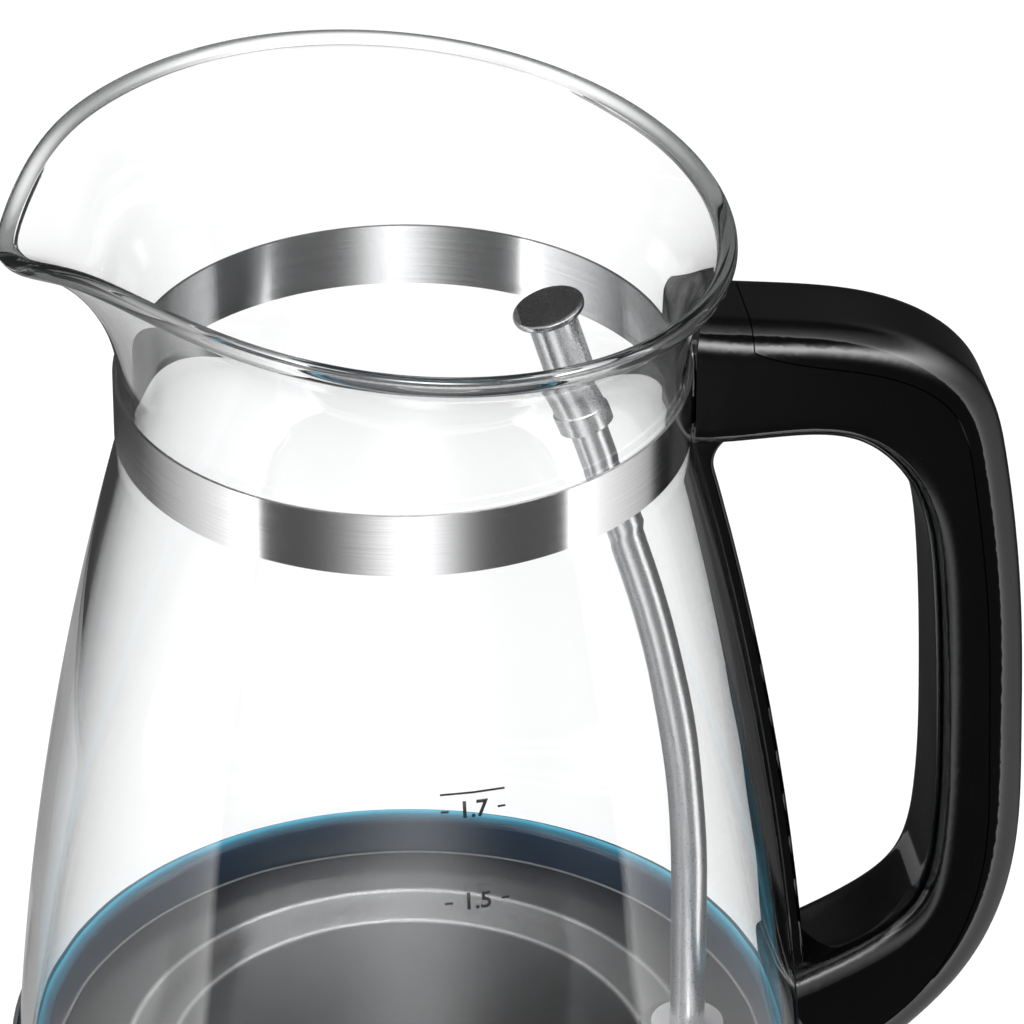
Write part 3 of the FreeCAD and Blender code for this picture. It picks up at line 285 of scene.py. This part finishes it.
def ring_faces(steps, rows, closed):
    """Quads between the outlines of a ring; a closed outline also joins its last point to its first."""
    faces = []
    for i in range(steps):
        j = (i + 1) % steps
        for k in range(rows if closed else rows - 1):
            m = (k + 1) % rows
            faces.append((i * rows + k, j * rows + k, j * rows + m, i * rows + m))
    return faces


def azimuths(steps):
    """Even angles once round, in degrees from -180."""
    return [360.0 * i / steps - 180.0 for i in range(steps)]


def point_values(obj, name, values):
    """Gives each point of a mesh a number that its material can read."""
    obj.data.attributes.new(name, "FLOAT", "POINT").data.foreach_set("value", values)


class Nodes:
    """Short calls for building one node material."""

    def __init__(self, name):
        self.material = bpy.data.materials.new(name)
        self.material.use_nodes = True
        self.tree = self.material.node_tree
        self.shader = self.tree.nodes["Principled BSDF"]
        self.output = self.tree.nodes["Material Output"]

    def add(self, kind, **settings):
        """New shader node with its settings."""
        node = self.tree.nodes.new("ShaderNode" + kind)
        for key, value in settings.items():
            setattr(node, key, value)
        return node

    def join(self, source, target):
        """Links one node's output to another's input."""
        self.tree.links.new(source, target)

    def plug(self, value, socket):
        """Sets a socket to a number, or joins another node's output to it."""
        if isinstance(value, (int, float)):
            socket.default_value = value
        else:
            self.join(value, socket)

    def set(self, **values):
        """Sets the shader's own sockets; an underscore in a name stands for a space."""
        for key, value in values.items():
            self.shader.inputs[key.replace("_", " ")].default_value = value

    def feed(self, value, socket):
        """Joins a node's output to one of the shader's sockets."""
        self.join(value, self.shader.inputs[socket])

    def math(self, operation, *values):
        """Result of a Math node over numbers or other nodes' outputs."""
        node = self.add("Math", operation=operation)
        for value, socket in zip(values, node.inputs):
            self.plug(value, socket)
        return node.outputs[0]

    def vector(self, *values):
        """Vector of three numbers or other nodes' outputs."""
        node = self.add("CombineXYZ")
        for value, socket in zip(values, node.inputs):
            self.plug(value, socket)
        return node.outputs[0]

    def place(self):
        """Object coordinates, in metres, as x, y and z."""
        source = self.add("TexCoord")
        split = self.add("SeparateXYZ")
        self.join(source.outputs["Object"], split.inputs[0])
        return split.outputs

    def ring_place(self):
        """Turn about the axis (radians), distance from it and height."""
        x, y, z = self.place()
        turn = self.math("ARCTAN2", y, x)
        square = self.math("ADD", self.math("MULTIPLY", x, x), self.math("MULTIPLY", y, y))
        return turn, self.math("SQRT", square), z

    def noise(self, detail, scale=1.0, vector=None):
        """Noise over a vector, or over the object's own metres."""
        node = self.add("TexNoise")
        node.inputs["Scale"].default_value = scale
        node.inputs["Detail"].default_value = detail
        node.inputs["Roughness"].default_value = NOISE_ROUGH
        if vector is None:
            vector = self.add("TexCoord").outputs["Object"]
        self.join(vector, node.inputs["Vector"])
        return node.outputs["Fac"]

    def ramp(self, value, low, high):
        """Maps a 0 to 1 value to a number between low and high."""
        node = self.add("MapRange")
        node.inputs["To Min"].default_value = low
        node.inputs["To Max"].default_value = high
        self.join(value, node.inputs["Value"])
        return node.outputs[0]

    def tint(self, value, stops):
        """Colour ramp from (position, colour) stops."""
        node = self.add("ValToRGB")
        elements = node.color_ramp.elements
        while len(elements) < len(stops):
            elements.new(1.0)
        for element, (position, colour) in zip(elements, stops):
            element.position = position
            element.color = (*colour, 1.0)
        self.join(value, node.inputs[0])
        return node.outputs[0]

    def blend(self, value, first, second):
        """Mixes two colours, from the first at 0 to the second at 1."""
        node = self.add("Mix", data_type="RGBA")
        # The colour sockets come after those for numbers and vectors, under the same names
        sockets = (node.inputs["Factor"], node.inputs[6], node.inputs[7])
        for source, socket in zip((value, first, second), sockets):
            self.join(source, socket)
        return node.outputs[2]

    def bump(self, height, strength, distance):
        """Lets a height show as relief on the shader."""
        node = self.add("Bump")
        node.inputs["Strength"].default_value = strength
        node.inputs["Distance"].default_value = distance
        self.join(height, node.inputs["Height"])
        self.feed(node.outputs[0], "Normal")

    def brush_lines(self, turn, step, count, detail):
        """Noise drawn out into lines round the axis, one above or beside the other."""
        along = self.math("MULTIPLY", turn, BRUSH_BREAKS)
        across = self.math("MULTIPLY", step, count)
        return self.noise(detail, vector=self.vector(along, 0.0, across))

    def brushed(self, streak):
        """Metal that streaks its highlights across a brushing round the axis."""
        self.set(Metallic=1.0, Anisotropic=streak, Anisotropic_Rotation=BRUSH_TURN)
        self.feed(self.add("Tangent", direction_type="RADIAL", axis="Z").outputs[0], "Tangent")

    def mix_shaders(self, value, first, second):
        """Ends the material in a mix of two shaders, from the first at 0 to the second at 1."""
        node = self.add("MixShader")
        for source, socket in zip((value, first.outputs[0], second.outputs[0]), node.inputs):
            self.join(source, socket)
        self.join(node.outputs[0], self.output.inputs["Surface"])


def shades(colour, spread):
    """Two near shades of one colour."""
    darker = tuple(c * (1 - spread) for c in colour)
    lighter = tuple(min(1.0, c * (1 + spread)) for c in colour)
    return list(zip(SHADE_STOPS, (darker, lighter)))


def clear_glass():
    """Blown borosilicate glass with a faint waviness; light passes through it to what is inside, and its
    colour carries painted shade towards its edges.
    """
    n = Nodes("clear_glass")
    n.set(Roughness=0.0, IOR=GLASS_IOR, Transmission_Weight=1.0)
    n.bump(n.noise(WAVE_DETAIL, WAVE_SCALE), WAVE_STRENGTH, WAVE_DEPTH)
    slant = n.add("LayerWeight").outputs["Facing"]
    bead = n.add("Attribute", attribute_name="bead").outputs["Fac"]
    # Painted shade: the colour darkens towards grazing looks, most on the bead, for the dark that
    # refraction shows at the edges
    n.feed(n.blend(bead, n.tint(slant, GLASS_EDGE_SHADE), n.tint(slant, BEAD_EDGE_SHADE)), "Base Color")
    path = n.add("LightPath")
    trapped = n.math("GREATER_THAN", path.outputs["Glossy Depth"], MIRROR_LIMIT)
    late = n.math("GREATER_THAN", path.outputs["Ray Depth"], BOUNCE_LIMIT)
    straight = n.math("MAXIMUM", path.outputs["Is Shadow Ray"], n.math("MAXIMUM", trapped, late))
    n.mix_shaders(straight, n.shader, n.add("BsdfTransparent"))
    return n.material


def band_steel():
    """Steel brushed round the axis, with fine lines stacked in height."""
    n = Nodes("band_steel")
    turn, _, z = n.ring_place()
    lines = n.brush_lines(turn, z, BAND_LINES, BAND_DETAIL)
    n.feed(n.tint(lines, shades(BAND_COLOUR, BAND_SPREAD)), "Base Color")
    n.feed(n.ramp(lines, *BAND_ROUGH), "Roughness")
    n.brushed(BAND_STREAK)
    n.bump(lines, *BAND_BUMP)
    return n.material


def painted_step_highlight(n, across):
    """Painted highlight on the floor's pressed step: full on its two edges, faint between them."""
    past_first = n.math("GREATER_THAN", across, FLOOR_EDGES[0])
    before_last = n.math("LESS_THAN", across, FLOOR_EDGES[1])
    light = n.math("MULTIPLY", n.math("MULTIPLY", past_first, before_last), FLOOR_STEP_HIGHLIGHT)
    for r in FLOOR_EDGES:
        away = n.math("ABSOLUTE", n.math("SUBTRACT", across, r))
        line = n.math("SUBTRACT", 1.0, n.math("DIVIDE", away, FLOOR_HIGHLIGHT_HALF))
        light = n.math("MAXIMUM", light, line)
    return light


def floor_steel():
    """Dark steel floor, brushed in circles, with a painted highlight on the edges of its pressed step.
    """
    n = Nodes("floor_steel")
    turn, across, _ = n.ring_place()
    lines = n.brush_lines(turn, across, FLOOR_LINES, FLOOR_DETAIL)
    dark = n.tint(lines, shades(FLOOR_COLOUR, FLOOR_SPREAD))
    # Painted highlight: the step's edges take a bright steel colour for the lights they reflect
    bright = n.tint(lines, shades(FLOOR_HIGHLIGHT_COLOUR, FLOOR_SPREAD))
    n.feed(n.blend(painted_step_highlight(n, across), dark, bright), "Base Color")
    n.feed(n.ramp(lines, *FLOOR_ROUGH), "Roughness")
    n.brushed(FLOOR_STREAK)
    return n.material


def cap_steel():
    """Turned steel of the steam cap, with a darker disc on top that is painted shade for the dark room
    it reflects.
    """
    n = Nodes("cap_steel")
    grain = n.noise(GRAIN_DETAIL, CAP_GRAIN)
    disc = n.math("GREATER_THAN", n.place()[2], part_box("steam_cap")[1].z - CAP_DISC_DEPTH)
    light = n.tint(grain, shades(CAP_COLOUR, CAP_SPREAD))
    # Painted shade: the top disc takes a darker colour than the rest of the cap
    dark = n.tint(grain, shades(CAP_DISC_SHADE_COLOUR, CAP_DISC_SHADE_SPREAD))
    n.feed(n.blend(disc, light, dark), "Base Color")
    n.feed(n.ramp(grain, *CAP_ROUGH), "Roughness")
    n.set(Metallic=1.0)
    return n.material


def grained(name, colour, rough, scale, strength, metallic, spread):
    """Surface with an even fine grain: cast, rolled, moulded or rubbery."""
    n = Nodes(name)
    grain = n.noise(GRAIN_DETAIL, scale)
    cloud = n.noise(GRAIN_CLOUD_DETAIL, scale * GRAIN_CLOUD)
    n.feed(n.tint(cloud, shades(colour, spread)), "Base Color")
    n.feed(n.ramp(grain, rough * GRAIN_ROUGH[0], min(1.0, rough * GRAIN_ROUGH[1])), "Roughness")
    n.set(Metallic=metallic)
    n.bump(grain, strength, GRAIN_DEPTH)
    return n.material


def gloss_black():
    """Polished black moulding with faint handling haze."""
    n = Nodes("gloss_black")
    haze = n.noise(BLACK_HAZE_DETAIL, BLACK_HAZE)
    n.feed(n.tint(haze, BLACK_TINTS), "Base Color")
    n.feed(n.ramp(haze, *BLACK_ROUGH), "Roughness")
    n.set(IOR=BLACK_IOR)
    return n.material


def light_blue():
    """Clear ring lit from below: bright cyan at its top edge, navy down its wall."""
    n = Nodes("light_blue")
    _, across, z = n.ring_place()
    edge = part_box("light_ring")[1]
    depth = n.math("ADD", n.math("SUBTRACT", edge.x, across), n.math("SUBTRACT", edge.z, z))
    spots = n.math("SUBTRACT", n.noise(RING_SPOT_DETAIL, RING_SPOTS), NOISE_MIDDLE)
    depth = n.math("ADD", depth, n.math("MULTIPLY", spots, RING_SPOT_DEPTH))
    level = n.math("DIVIDE", depth, RING_REACH)
    n.feed(n.tint(level, RING_GLOW), "Emission Color")
    n.feed(n.tint(level, RING_TINTS), "Base Color")
    n.set(Roughness=RING_ROUGH, Emission_Strength=1.0)
    return n.material


def board_green():
    """Lacquered circuit board with copper tracks under the lacquer."""
    n = Nodes("board")
    x, y, _ = n.place()
    tracks = n.add("TexWave", wave_type="BANDS")
    tracks.inputs["Scale"].default_value = BOARD_TRACKS
    tracks.inputs["Distortion"].default_value = BOARD_WANDER
    n.join(n.vector(x, y, 0.0), tracks.inputs["Vector"])
    n.feed(n.tint(tracks.outputs["Fac"], BOARD_TINTS), "Base Color")
    n.feed(n.ramp(tracks.outputs["Fac"], *BOARD_ROUGH), "Roughness")
    return n.material


def mark_ink():
    """Fired dark print of the level marks."""
    n = Nodes("mark_ink")
    wear = n.noise(INK_DETAIL, INK_WEAR)
    n.feed(n.tint(wear, INK_TINTS), "Base Color")
    n.feed(n.ramp(wear, *INK_ROUGH), "Roughness")
    return n.material


def make_materials():
    """One material for each slot of the record, and one for the steam cap."""
    materials = {name: grained(name, *settings) for name, settings in GRAINED.items()}
    materials["clear_glass"] = clear_glass()
    materials["band_steel"] = band_steel()
    materials["floor_steel"] = floor_steel()
    materials["cap_steel"] = cap_steel()
    materials["gloss_black"] = gloss_black()
    materials["light_blue"] = light_blue()
    materials["board"] = board_green()
    return materials


def smooth_group():
    """Geometry nodes: join equal corners, then shade smooth but for sharp edges."""
    group = bpy.data.node_groups.new("smooth_by_angle", "GeometryNodeTree")
    group.interface.new_socket("Geometry", in_out="INPUT", socket_type="NodeSocketGeometry")
    group.interface.new_socket("Geometry", in_out="OUTPUT", socket_type="NodeSocketGeometry")
    nodes = group.nodes
    start = nodes.new("NodeGroupInput")
    end = nodes.new("NodeGroupOutput")
    merge = nodes.new("GeometryNodeMergeByDistance")
    merge.inputs["Distance"].default_value = SAME_CORNER
    turn = nodes.new("GeometryNodeInputMeshEdgeAngle")
    compare = nodes.new("FunctionNodeCompare")
    compare.operation = "LESS_THAN"
    compare.inputs[1].default_value = math.radians(SHARP_ANGLE)
    faces = nodes.new("GeometryNodeSetShadeSmooth")
    edges = nodes.new("GeometryNodeSetShadeSmooth")
    edges.domain = "EDGE"
    for source, target in [
        (start.outputs[0], merge.inputs["Geometry"]),
        (merge.outputs[0], faces.inputs["Geometry"]),
        (faces.outputs[0], edges.inputs["Geometry"]),
        (turn.outputs["Unsigned Angle"], compare.inputs[0]),
        (compare.outputs[0], edges.inputs["Shade Smooth"]),
        (edges.outputs[0], end.inputs[0]),
    ]:
        group.links.new(source, target)
    return group


def dress_nodes(materials):
    """Gives every CAD node the material of its slot, and smooth shading."""
    group = smooth_group()
    slots = {row["node"]: row["material_slot"] for row in frame["record"]["subparts"]}
    slots["steam_cap"] = "cap_steel"
    for name, obj in frame["nodes"].items():
        obj.data.materials.clear()
        obj.data.materials.append(materials[slots[name]])
        obj.modifiers.new("smooth_by_angle", "NODES").node_group = group


def belly_circle():
    """Centre and radius, in (r, z), of the circle through foot, belly and neck."""
    ax, ay = GLASS_BOTTOM
    bx, by = GLASS_BELLY
    cx, cy = NECK_R, NECK_LOW_Z
    d = 2 * (ax * (by - cy) + bx * (cy - ay) + cx * (ay - by))
    a2 = ax * ax + ay * ay
    b2 = bx * bx + by * by
    c2 = cx * cx + cy * cy
    ux = (a2 * (by - cy) + b2 * (cy - ay) + c2 * (ay - by)) / d
    uy = (a2 * (cx - bx) + b2 * (ax - cx) + c2 * (bx - ax)) / d
    return ux, uy, math.hypot(ax - ux, ay - uy)


def belly_radius(z):
    """Outer radius of the glass at a height below the neck."""
    centre_r, centre_z, radius = belly_circle()
    return centre_r + math.sqrt(radius * radius - (z - centre_z) ** 2)


def mouth_edge(angle):
    """Radius, height and lean of the flared mouth; the angle is from the pouring lip, in degrees."""
    a = math.radians(angle)
    lip = math.exp(-((abs(angle) / LIP_HALF_ANGLE) ** LIP_SHARPNESS))
    dip = math.exp(-((angle / LIP_DIP_ANGLE) ** 2))
    radius = MOUTH_R * (1 - MOUTH_OVAL * math.cos(2 * a)) + LIP_REACH * lip
    height = NECK_HIGH_Z + MOUTH_RISE + MOUTH_TILT * math.cos(a) - LIP_DIP * dip
    lean = math.radians(MOUTH_LEAN + (LIP_LEAN - MOUTH_LEAN) * lip)
    return radius, height, lean


def flare(angle):
    """Middle of the flared wall, from neck to bead, as rows of (r, z, tangent r, tangent z)."""
    radius, height, lean = mouth_edge(angle)
    start = NECK_R - GLASS_WALL / 2
    reach = (radius - start) / (1 - math.cos(lean))
    rise = (height - NECK_HIGH_Z) / math.sin(lean)
    rows = []
    for i in range(FLARE_STEPS):
        a = lean * i / (FLARE_STEPS - 1)
        slope = (reach * math.sin(a), rise * math.cos(a))
        length = math.hypot(*slope)
        r = start + reach * (1 - math.cos(a))
        z = NECK_HIGH_Z + rise * math.sin(a)
        rows.append((r, z, slope[0] / length, slope[1] / length))
    return rows


def bead_points(r, z, tr, tz):
    """Points (r, z) of the rim's bead, from the outside of the wall round to its inside."""
    first = math.asin(GLASS_WALL / 2 / BEAD_R)
    points = []
    for i in range(BEAD_STEPS + 1):
        a = first + (2 * math.pi - 2 * first) * i / BEAD_STEPS
        back = BEAD_R * math.cos(a)
        out = BEAD_R * math.sin(a)
        points.append((r - back * tr + out * tz, z - back * tz - out * tr))
    return points


def jug_profile(angle):
    """Closed (r, z) outline of the wall at an angle from the lip, and 1 for points of the bead."""
    half = GLASS_WALL / 2
    low_z = GLASS_BOTTOM[1]
    outer = []
    for i in range(BODY_STEPS):
        z = low_z + (NECK_LOW_Z - low_z) * i / BODY_STEPS
        outer.append((belly_radius(z), z))
    for i in range(NECK_STEPS):
        outer.append((NECK_R, NECK_LOW_Z + (NECK_HIGH_Z - NECK_LOW_Z) * i / NECK_STEPS))
    inner = [(r - GLASS_WALL, z) for r, z in outer]
    rows = flare(angle)
    for r, z, tr, tz in rows[:-1]:
        outer.append((r + tz * half, z - tr * half))
        inner.append((r - tz * half, z + tr * half))
    bead = bead_points(*rows[-1])
    beaded = [0.0] * len(outer) + [1.0] * len(bead) + [0.0] * len(inner)
    return outer + bead + inner[::-1], beaded


def glass_piece(material):
    """Blown jug: the wall's outline carried once round the axis."""
    verts = []
    beads = []
    for angle in azimuths(AROUND_STEPS):
        turn = math.radians(180.0 + angle)
        points, beaded = jug_profile(angle)
        verts += [(r * math.cos(turn), r * math.sin(turn), z) for r, z in points]
        beads += beaded
    faces = ring_faces(AROUND_STEPS, len(verts) // AROUND_STEPS, closed=True)
    jug = mesh_object("glass_jug_clear", verts, faces)
    point_values(jug, "bead", beads)
    jug.data.materials.append(material)
    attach(jug, "jug")
    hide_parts("glass_jug")


def on_glass(across, up):
    """Point on the outside of the glass, from a distance along its girth and a height."""
    r = belly_radius(up) + MARK_LIFT
    turn = math.radians(MARK_TURN - 90.0) + across / r
    return r * math.cos(turn), r * math.sin(turn), up


def text_mesh(text):
    """Flat mesh of a text in the built-in typeface, centred."""
    curve = bpy.data.curves.new("mark_text", "FONT")
    curve.body = text
    curve.align_x = "CENTER"
    curve.align_y = "CENTER"
    curve.size = MARK_LETTER * MARK_TYPE_PER_LETTER
    curve.offset = MARK_WEIGHT
    holder = link(bpy.data.objects.new("mark_text", curve))
    bpy.context.view_layer.update()
    shown = holder.evaluated_get(bpy.context.evaluated_depsgraph_get())
    mesh = bpy.data.meshes.new_from_object(shown)
    bpy.data.objects.remove(holder)
    bpy.data.curves.remove(curve)
    return mesh


def add_dash(work, x, y, length):
    """Adds a flat dash centred on (x, y)."""
    half = length / 2
    thick = MARK_DASH_THICK / 2
    low = [(x - half, y - thick), (x + half, y - thick)]
    high = [(x + half, y + thick), (x - half, y + thick)]
    work.faces.new([work.verts.new((*corner, 0.0)) for corner in low + high])


def flat_mark(text, limit):
    """One number with a dash at each side, still flat; the upper limit also has a bar above it."""
    work = bmesh.new()
    work.from_mesh(text_mesh(text))
    for x in (-MARK_DASH_OFFSET, MARK_DASH_OFFSET):
        add_dash(work, x, 0.0, MARK_DASH_LENGTH)
    if limit:
        add_dash(work, 0.0, MARK_LETTER, 2 * MARK_DASH_OFFSET + MARK_DASH_LENGTH)
    bmesh.ops.subdivide_edges(work, edges=work.edges[:], cuts=1)
    return work


def level_mark(text, height, limit, material):
    """One level mark, wrapped on the glass and given the thickness of its ink."""
    work = flat_mark(text, limit)
    for vert in work.verts:
        vert.co = Vector(on_glass(vert.co.x, height + vert.co.y))
    mesh = bpy.data.meshes.new("level_mark")
    work.to_mesh(mesh)
    work.free()
    mark = link(bpy.data.objects.new("level_mark_" + text.replace(".", "_"), mesh))
    solid = mark.modifiers.new("thickness", "SOLIDIFY")
    solid.thickness = MARK_THICK
    solid.offset = 1.0
    mark.data.materials.append(material)
    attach(mark, "jug")


def soft_light(azimuth, z, light):
    """Brightness that a soft light adds to the drum's wall."""
    middle, half_turn, height, half_height, strength = light
    away = ((azimuth - middle) / half_turn) ** 2 + ((z - height) / half_height) ** 2
    return strength * math.exp(-away)


def drum_wall_grey(azimuth, z):
    """Brightness of the drum's wall; azimuth in degrees from the camera's side, -180 to 180."""
    side = abs(azimuth)
    lights = soft_light(azimuth, z, TOP_LIGHT) + soft_light(side, z, GLINT)
    if side < FRONT_CARD:
        half = FRONT_HALF_LEFT if azimuth < 0 else FRONT_HALF_RIGHT
        return FRONT_GREY + FRONT_BRIGHT * math.exp(-((azimuth / half) ** 2)) + lights
    if side < SIDE_CARD:
        edge = SIDE_EDGE_BRIGHT * math.exp((FRONT_CARD - side) / SIDE_EDGE_FADE)
        card = SIDE_BRIGHT * (SIDE_CARD - side) / (SIDE_CARD - FRONT_CARD)
        return DARK_CARD + edge + card + lights
    return DARK_CARD + lights


def drum_floor_grey(azimuth, r):
    """Brightness of the drum's floor: as the wall in front, and dark behind but for a pale patch."""
    if abs(azimuth) < SIDE_CARD:
        return drum_wall_grey(azimuth, 0.0)
    return PALE_CARD if azimuth < 0 and r < PALE_R else DARK_CARD


def drum_outline(azimuth):
    """Rows (r, z, brightness) of the drum at one azimuth: floor, wall with cards, dark roof."""
    radii = (DRUM_INNER_R, PALE_R - DRUM_LIFT, PALE_R, DRUM_R - DRUM_LIFT)
    rows = [(r, DRUM_LIFT, drum_floor_grey(azimuth, r)) for r in radii]
    for k in range(DRUM_ROWS + 1):
        z = DRUM_LIFT + (DRUM_HEIGHT - DRUM_LIFT) * k / DRUM_ROWS
        rows.append((DRUM_R, z, drum_wall_grey(azimuth, z)))
    return rows + [(r, DRUM_HEIGHT, DARK_CARD) for r in (DRUM_R - DRUM_LIFT, DRUM_LIFT)]


def drum_material():
    """Glows in reflections, and can't be seen straight through the glass."""
    n = Nodes("studio_drum")
    n.tree.nodes.remove(n.shader)
    mirrored = n.math("GREATER_THAN", n.add("LightPath").outputs["Glossy Depth"], MIRRORED_ONCE)
    glow = n.add("Emission")
    n.join(n.add("Attribute", attribute_name="grey").outputs["Fac"], glow.inputs["Color"])
    n.mix_shaders(mirrored, n.add("BsdfTransparent"), glow)
    return n.material


def studio_drum():
    """Round screen that only reflections see: dark and light cards about the kettle."""
    verts = []
    greys = []
    facing = math.radians(270.0 - CAMERA_HEADING + DRUM_TURN)
    for azimuth in azimuths(DRUM_STEPS):
        turn = facing + math.radians(azimuth)
        for r, z, grey in drum_outline(azimuth):
            verts.append((r * math.cos(turn), r * math.sin(turn), z))
            greys.append(grey)
    faces = ring_faces(DRUM_STEPS, len(verts) // DRUM_STEPS, closed=False)
    drum = mesh_object("studio_drum", verts, faces)
    point_values(drum, "grey", greys)
    drum.data.materials.append(drum_material())
    drum.visible_camera = False
    drum.visible_diffuse = False
    drum.visible_shadow = False


def in_view(tree):
    """1 for what the camera sees, straight, mirrored or through glass; 0 for light that only falls."""
    path = tree.nodes.new("ShaderNodeLightPath")
    seen = path.outputs["Is Camera Ray"]
    for name in ("Is Glossy Ray", "Is Transmission Ray"):
        either = tree.nodes.new("ShaderNodeMath")
        either.operation = "MAXIMUM"
        tree.links.new(seen, either.inputs[0])
        tree.links.new(path.outputs[name], either.inputs[1])
        seen = either.outputs[0]
    return seen


def studio_floor_material():
    """Matt pale surface that also glows white to the camera, more so far out where less light falls."""
    n = Nodes("studio_floor")
    n.tree.nodes.remove(n.shader)
    matt = n.add("BsdfDiffuse")
    matt.inputs["Color"].default_value = STUDIO_COLOUR
    _, distance, _ = n.ring_place()
    outward = n.math("DIVIDE", n.math("SUBTRACT", distance, STUDIO_NEAR), STUDIO_FAR - STUDIO_NEAR)
    glow = n.add("Emission")
    shown = n.math("MULTIPLY", in_view(n.tree), n.ramp(outward, *STUDIO_WHITE))
    n.join(shown, glow.inputs["Strength"])
    both = n.add("AddShader")
    n.join(matt.outputs[0], both.inputs[0])
    n.join(glow.outputs[0], both.inputs[1])
    n.join(both.outputs[0], n.output.inputs["Surface"])
    return n.material


def studio_floor():
    """Floor that shows white to the camera and through glass, and keeps the kettle's shadow."""
    half = STUDIO_SIZE / 2
    corners = [(-half, -half, 0.0), (half, -half, 0.0), (half, half, 0.0), (-half, half, 0.0)]
    floor = mesh_object("studio_floor", corners, [(0, 1, 2, 3)], smooth=False)
    floor.data.materials.append(studio_floor_material())


def studio_world():
    """White behind everything, and an even grey room for the light that reaches the kettle."""
    world = bpy.data.worlds.new("studio")
    bpy.context.scene.world = world
    world.use_nodes = True
    tree = world.node_tree
    back = tree.nodes["Background"]
    level = tree.nodes.new("ShaderNodeMath")
    level.operation = "MAXIMUM"
    level.inputs[1].default_value = ROOM_LIGHT
    tree.links.new(in_view(tree), level.inputs[0])
    tree.links.new(level.outputs[0], back.inputs["Strength"])
    back.inputs["Color"].default_value = ROOM_WHITE


def area_lamp(name, place, size, power):
    """Soft rectangular lamp that looks at the kettle."""
    data = bpy.data.lights.new(name, "AREA")
    data.shape = "RECTANGLE"
    data.size, data.size_y = size
    data.energy = power
    lamp = link(bpy.data.objects.new(name, data))
    lamp.location = place
    lamp.rotation_euler = (Vector(LAMP_AIM) - Vector(place)).to_track_quat("-Z", "Y").to_euler()


def photo_camera():
    """Camera at the photograph's place and angle."""
    data = bpy.data.cameras.new("photo_camera")
    data.lens = CAMERA_LENS
    data.sensor_width = SENSOR
    data.sensor_fit = "HORIZONTAL"
    data.clip_end = CAMERA_REACH
    camera = link(bpy.data.objects.new("photo_camera", data))
    camera.location = CAMERA_PLACE
    heading = math.radians(CAMERA_HEADING)
    pitch = math.radians(CAMERA_PITCH)
    level = math.cos(pitch)
    ahead = Vector((math.sin(heading) * level, math.cos(heading) * level, -math.sin(pitch)))
    camera.rotation_euler = ahead.to_track_quat("-Z", "Y").to_euler()
    bpy.context.scene.camera = camera


def main():
    """Dresses the kettle and builds the studio round it."""
    bpy.context.scene.view_settings.view_transform = "Standard"
    materials = make_materials()
    dress_nodes(materials)
    glass_piece(materials["clear_glass"])
    ink = mark_ink()
    for text, height, limit in MARKS:
        level_mark(text, height, limit, ink)
    studio_world()
    studio_floor()
    studio_drum()
    for lamp in LAMPS:
        area_lamp(*lamp)
    photo_camera()


main()
